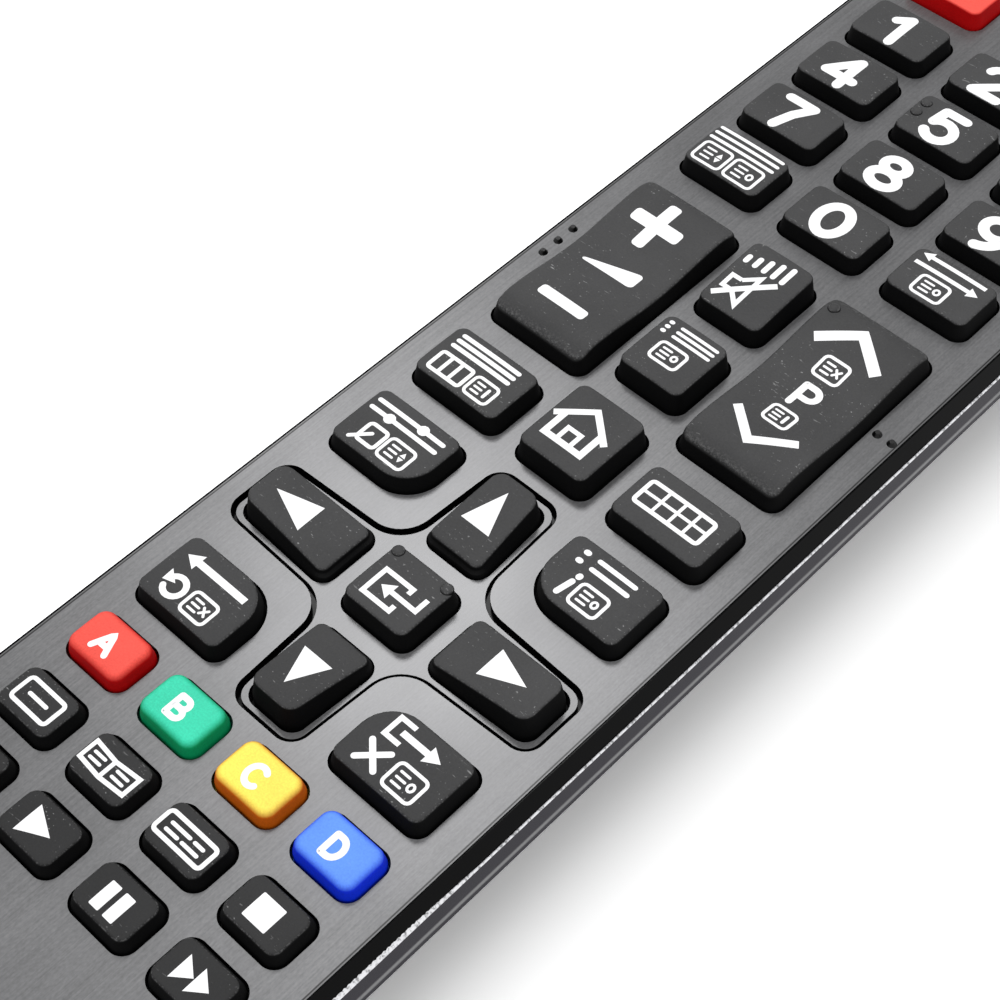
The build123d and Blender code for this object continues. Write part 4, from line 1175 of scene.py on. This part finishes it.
def beveled(node, name, width, outer, slot, merge=1e-6, flat=0.5, steep=57.3, soft=20.0):
    """A copy of a solid with its loose triangles merged, its flat faces joined and its steep edges
    broken by a small bevel, a wider one round its outer rim. Angles are in degrees."""
    source = frame["nodes"][node]
    mesh = source.data.copy()
    mesh.name = name
    work = bmesh.new()
    work.from_mesh(mesh)
    bmesh.ops.remove_doubles(work, verts=work.verts, dist=merge)
    bmesh.ops.dissolve_limit(work, angle_limit=np.radians(flat), verts=work.verts, edges=work.edges)
    reach = [max(abs(v.co[axis]) for v in work.verts) for axis in (0, 1)]
    for rim, size, segments in ((True, outer, 4), (False, width, 2)):
        turned = [e for e in work.edges
                  if len(e.link_faces) == 2 and e.calc_face_angle(0) > np.radians(steep)]
        edges = [e for e in turned if rim == all(at_rim(v.co, reach) for v in e.verts)]
        bmesh.ops.bevel(work, geom=edges, offset=size, offset_type="OFFSET", segments=segments, profile=0.5,
                        affect="EDGES", clamp_overlap=True)
    bmesh.ops.recalc_face_normals(work, faces=work.faces)
    for face in work.faces:
        face.smooth = True
    for edge in work.edges:
        level = any(abs(face.normal.z) > 0.999 for face in edge.link_faces)
        edge.smooth = not level and bool(edge.calc_face_angle(0) < np.radians(soft))
    work.to_mesh(mesh)
    work.free()
    mesh.materials.clear()
    mesh.materials.append(FINISHES[slot])
    piece = bpy.data.objects.new(name, mesh)
    bpy.context.scene.collection.objects.link(piece)
    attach(piece, "housing")
    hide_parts(node)
    return piece


class REMOTE_OT_panel(bpy.types.Operator):
    """Break the edges of the brushed panel and of the plate round the direction keys"""

    bl_idname = "remote.panel"
    bl_label = "Brushed panel"

    def execute(self, context):
        sizes = context.scene.legend_sizes
        beveled("pad_plate", "pad_plate_brushed", sizes.panel_edge, sizes.panel_edge, "panel_grey")
        beveled("faceplate", "faceplate_brushed", sizes.panel_edge, sizes.panel_rim, "panel_grey")
        return {"FINISHED"}


def area(name, place, aim, size, energy):
    """A soft square lamp that faces a point."""
    data = bpy.data.lights.new(name, "AREA")
    data.shape = "SQUARE"
    data.size = size
    data.energy = energy
    lamp = bpy.data.objects.new(name, data)
    lamp.location = place
    lamp.rotation_euler = (Vector(aim) - Vector(place)).to_track_quat("-Z", "Y").to_euler()
    bpy.context.scene.collection.objects.link(lamp)
    return lamp


class REMOTE_OT_stage(bpy.types.Operator):
    """Set the table, the lamps, the camera and the plain view"""

    bl_idname = "remote.stage"
    bl_label = "Stage"

    def execute(self, context):
        scene = context.scene
        low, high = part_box("key_enter")
        pad = Vector(((low.x + high.x) / 2, (low.y + high.y) / 2, PANEL * MM))
        camera = bpy.data.objects.new("camera", bpy.data.cameras.new("camera"))
        camera.location = pad + Vector(CAMERA_PLACE)
        camera.rotation_euler = np.radians(CAMERA_TURN)
        camera.data.lens = LENS
        camera.data.sensor_width = SENSOR
        camera.data.clip_start = 0.01
        scene.collection.objects.link(camera)
        scene.camera = camera

        made, tree, shader = material("White table", 0.6, specular=0.1)
        rays = tree.nodes.new("ShaderNodeLightPath")
        gain = maths(tree, "ADD", maths(tree, "MULTIPLY", rays.outputs["Is Camera Ray"], 0.5), 1.0)
        lit = tree.nodes.new("ShaderNodeVectorMath")
        lit.operation = "SCALE"
        lit.inputs[0].default_value = tuple(scene.finish_colours.floor)[:3]
        tree.links.new(gain, lit.inputs["Scale"])
        tree.links.new(lit.outputs[0], shader.inputs["Base Color"])
        mesh = bpy.data.meshes.new("floor")
        ways = ((-1, -1), (1, -1), (1, 1), (-1, 1))
        corners = [(x * FLOOR_REACH, y * FLOOR_REACH, -FLOOR_DROP * MM) for x, y in ways]
        mesh.from_pydata(corners, [], [(0, 1, 2, 3)])
        mesh.materials.append(made)
        floor = bpy.data.objects.new("floor", mesh)
        scene.collection.objects.link(floor)

        world = bpy.data.worlds.new("Soft studio")
        world.use_nodes = True
        tree = world.node_tree
        base = tree.nodes["Background"]
        base.inputs["Color"].default_value = (1, 1, 1, 1)
        rays = tree.nodes.new("ShaderNodeLightPath")
        strength = maths(tree, "ADD", maths(tree, "MULTIPLY", rays.outputs["Is Camera Ray"], 0.2), 0.8)
        tree.links.new(strength, base.inputs["Strength"])
        scene.world = world

        area("Glow", pad + Vector(GLOW_PLACE), pad, size=0.15, energy=1.25)
        area("Overhead", pad + Vector(OVERHEAD_PLACE), pad, size=0.5, energy=1.7)
        scene.view_settings.view_transform = "Standard"
        return {"FINISHED"}


class REMOTE_PT_panel(bpy.types.Panel):
    """Sizes, colours and steps of the remote control."""

    bl_idname = "REMOTE_PT_panel"
    bl_label = "Remote control"
    bl_space_type = "VIEW_3D"
    bl_region_type = "UI"
    bl_category = "Remote"

    def draw(self, context):
        for settings in (context.scene.legend_sizes, context.scene.finish_colours):
            group_box = self.layout.box()
            for name in settings.__annotations__:
                group_box.prop(settings, name)
        for step in STEPS:
            self.layout.operator(step.bl_idname)


STEPS = (REMOTE_OT_stage, REMOTE_OT_finishes, REMOTE_OT_keys, REMOTE_OT_legends, REMOTE_OT_panel,
         REMOTE_OT_bead)
CLASSES = (LegendSizes, FinishColours, *STEPS, REMOTE_PT_panel)


def register():
    """Register the classes and hang the settings on the scene."""
    for each in CLASSES:
        bpy.utils.register_class(each)
    bpy.types.Scene.legend_sizes = bpy.props.PointerProperty(type=LegendSizes)
    bpy.types.Scene.finish_colours = bpy.props.PointerProperty(type=FinishColours)


def unregister():
    """Take the settings off the scene and unregister the classes."""
    del bpy.types.Scene.finish_colours
    del bpy.types.Scene.legend_sizes
    for each in reversed(CLASSES):
        bpy.utils.unregister_class(each)


def main():
    """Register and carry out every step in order."""
    register()
    bpy.ops.remote.stage()
    bpy.ops.remote.finishes()
    bpy.ops.remote.keys()
    bpy.ops.remote.legends()
    bpy.ops.remote.panel()
    bpy.ops.remote.bead()


if __name__ == "__main__":
    main()
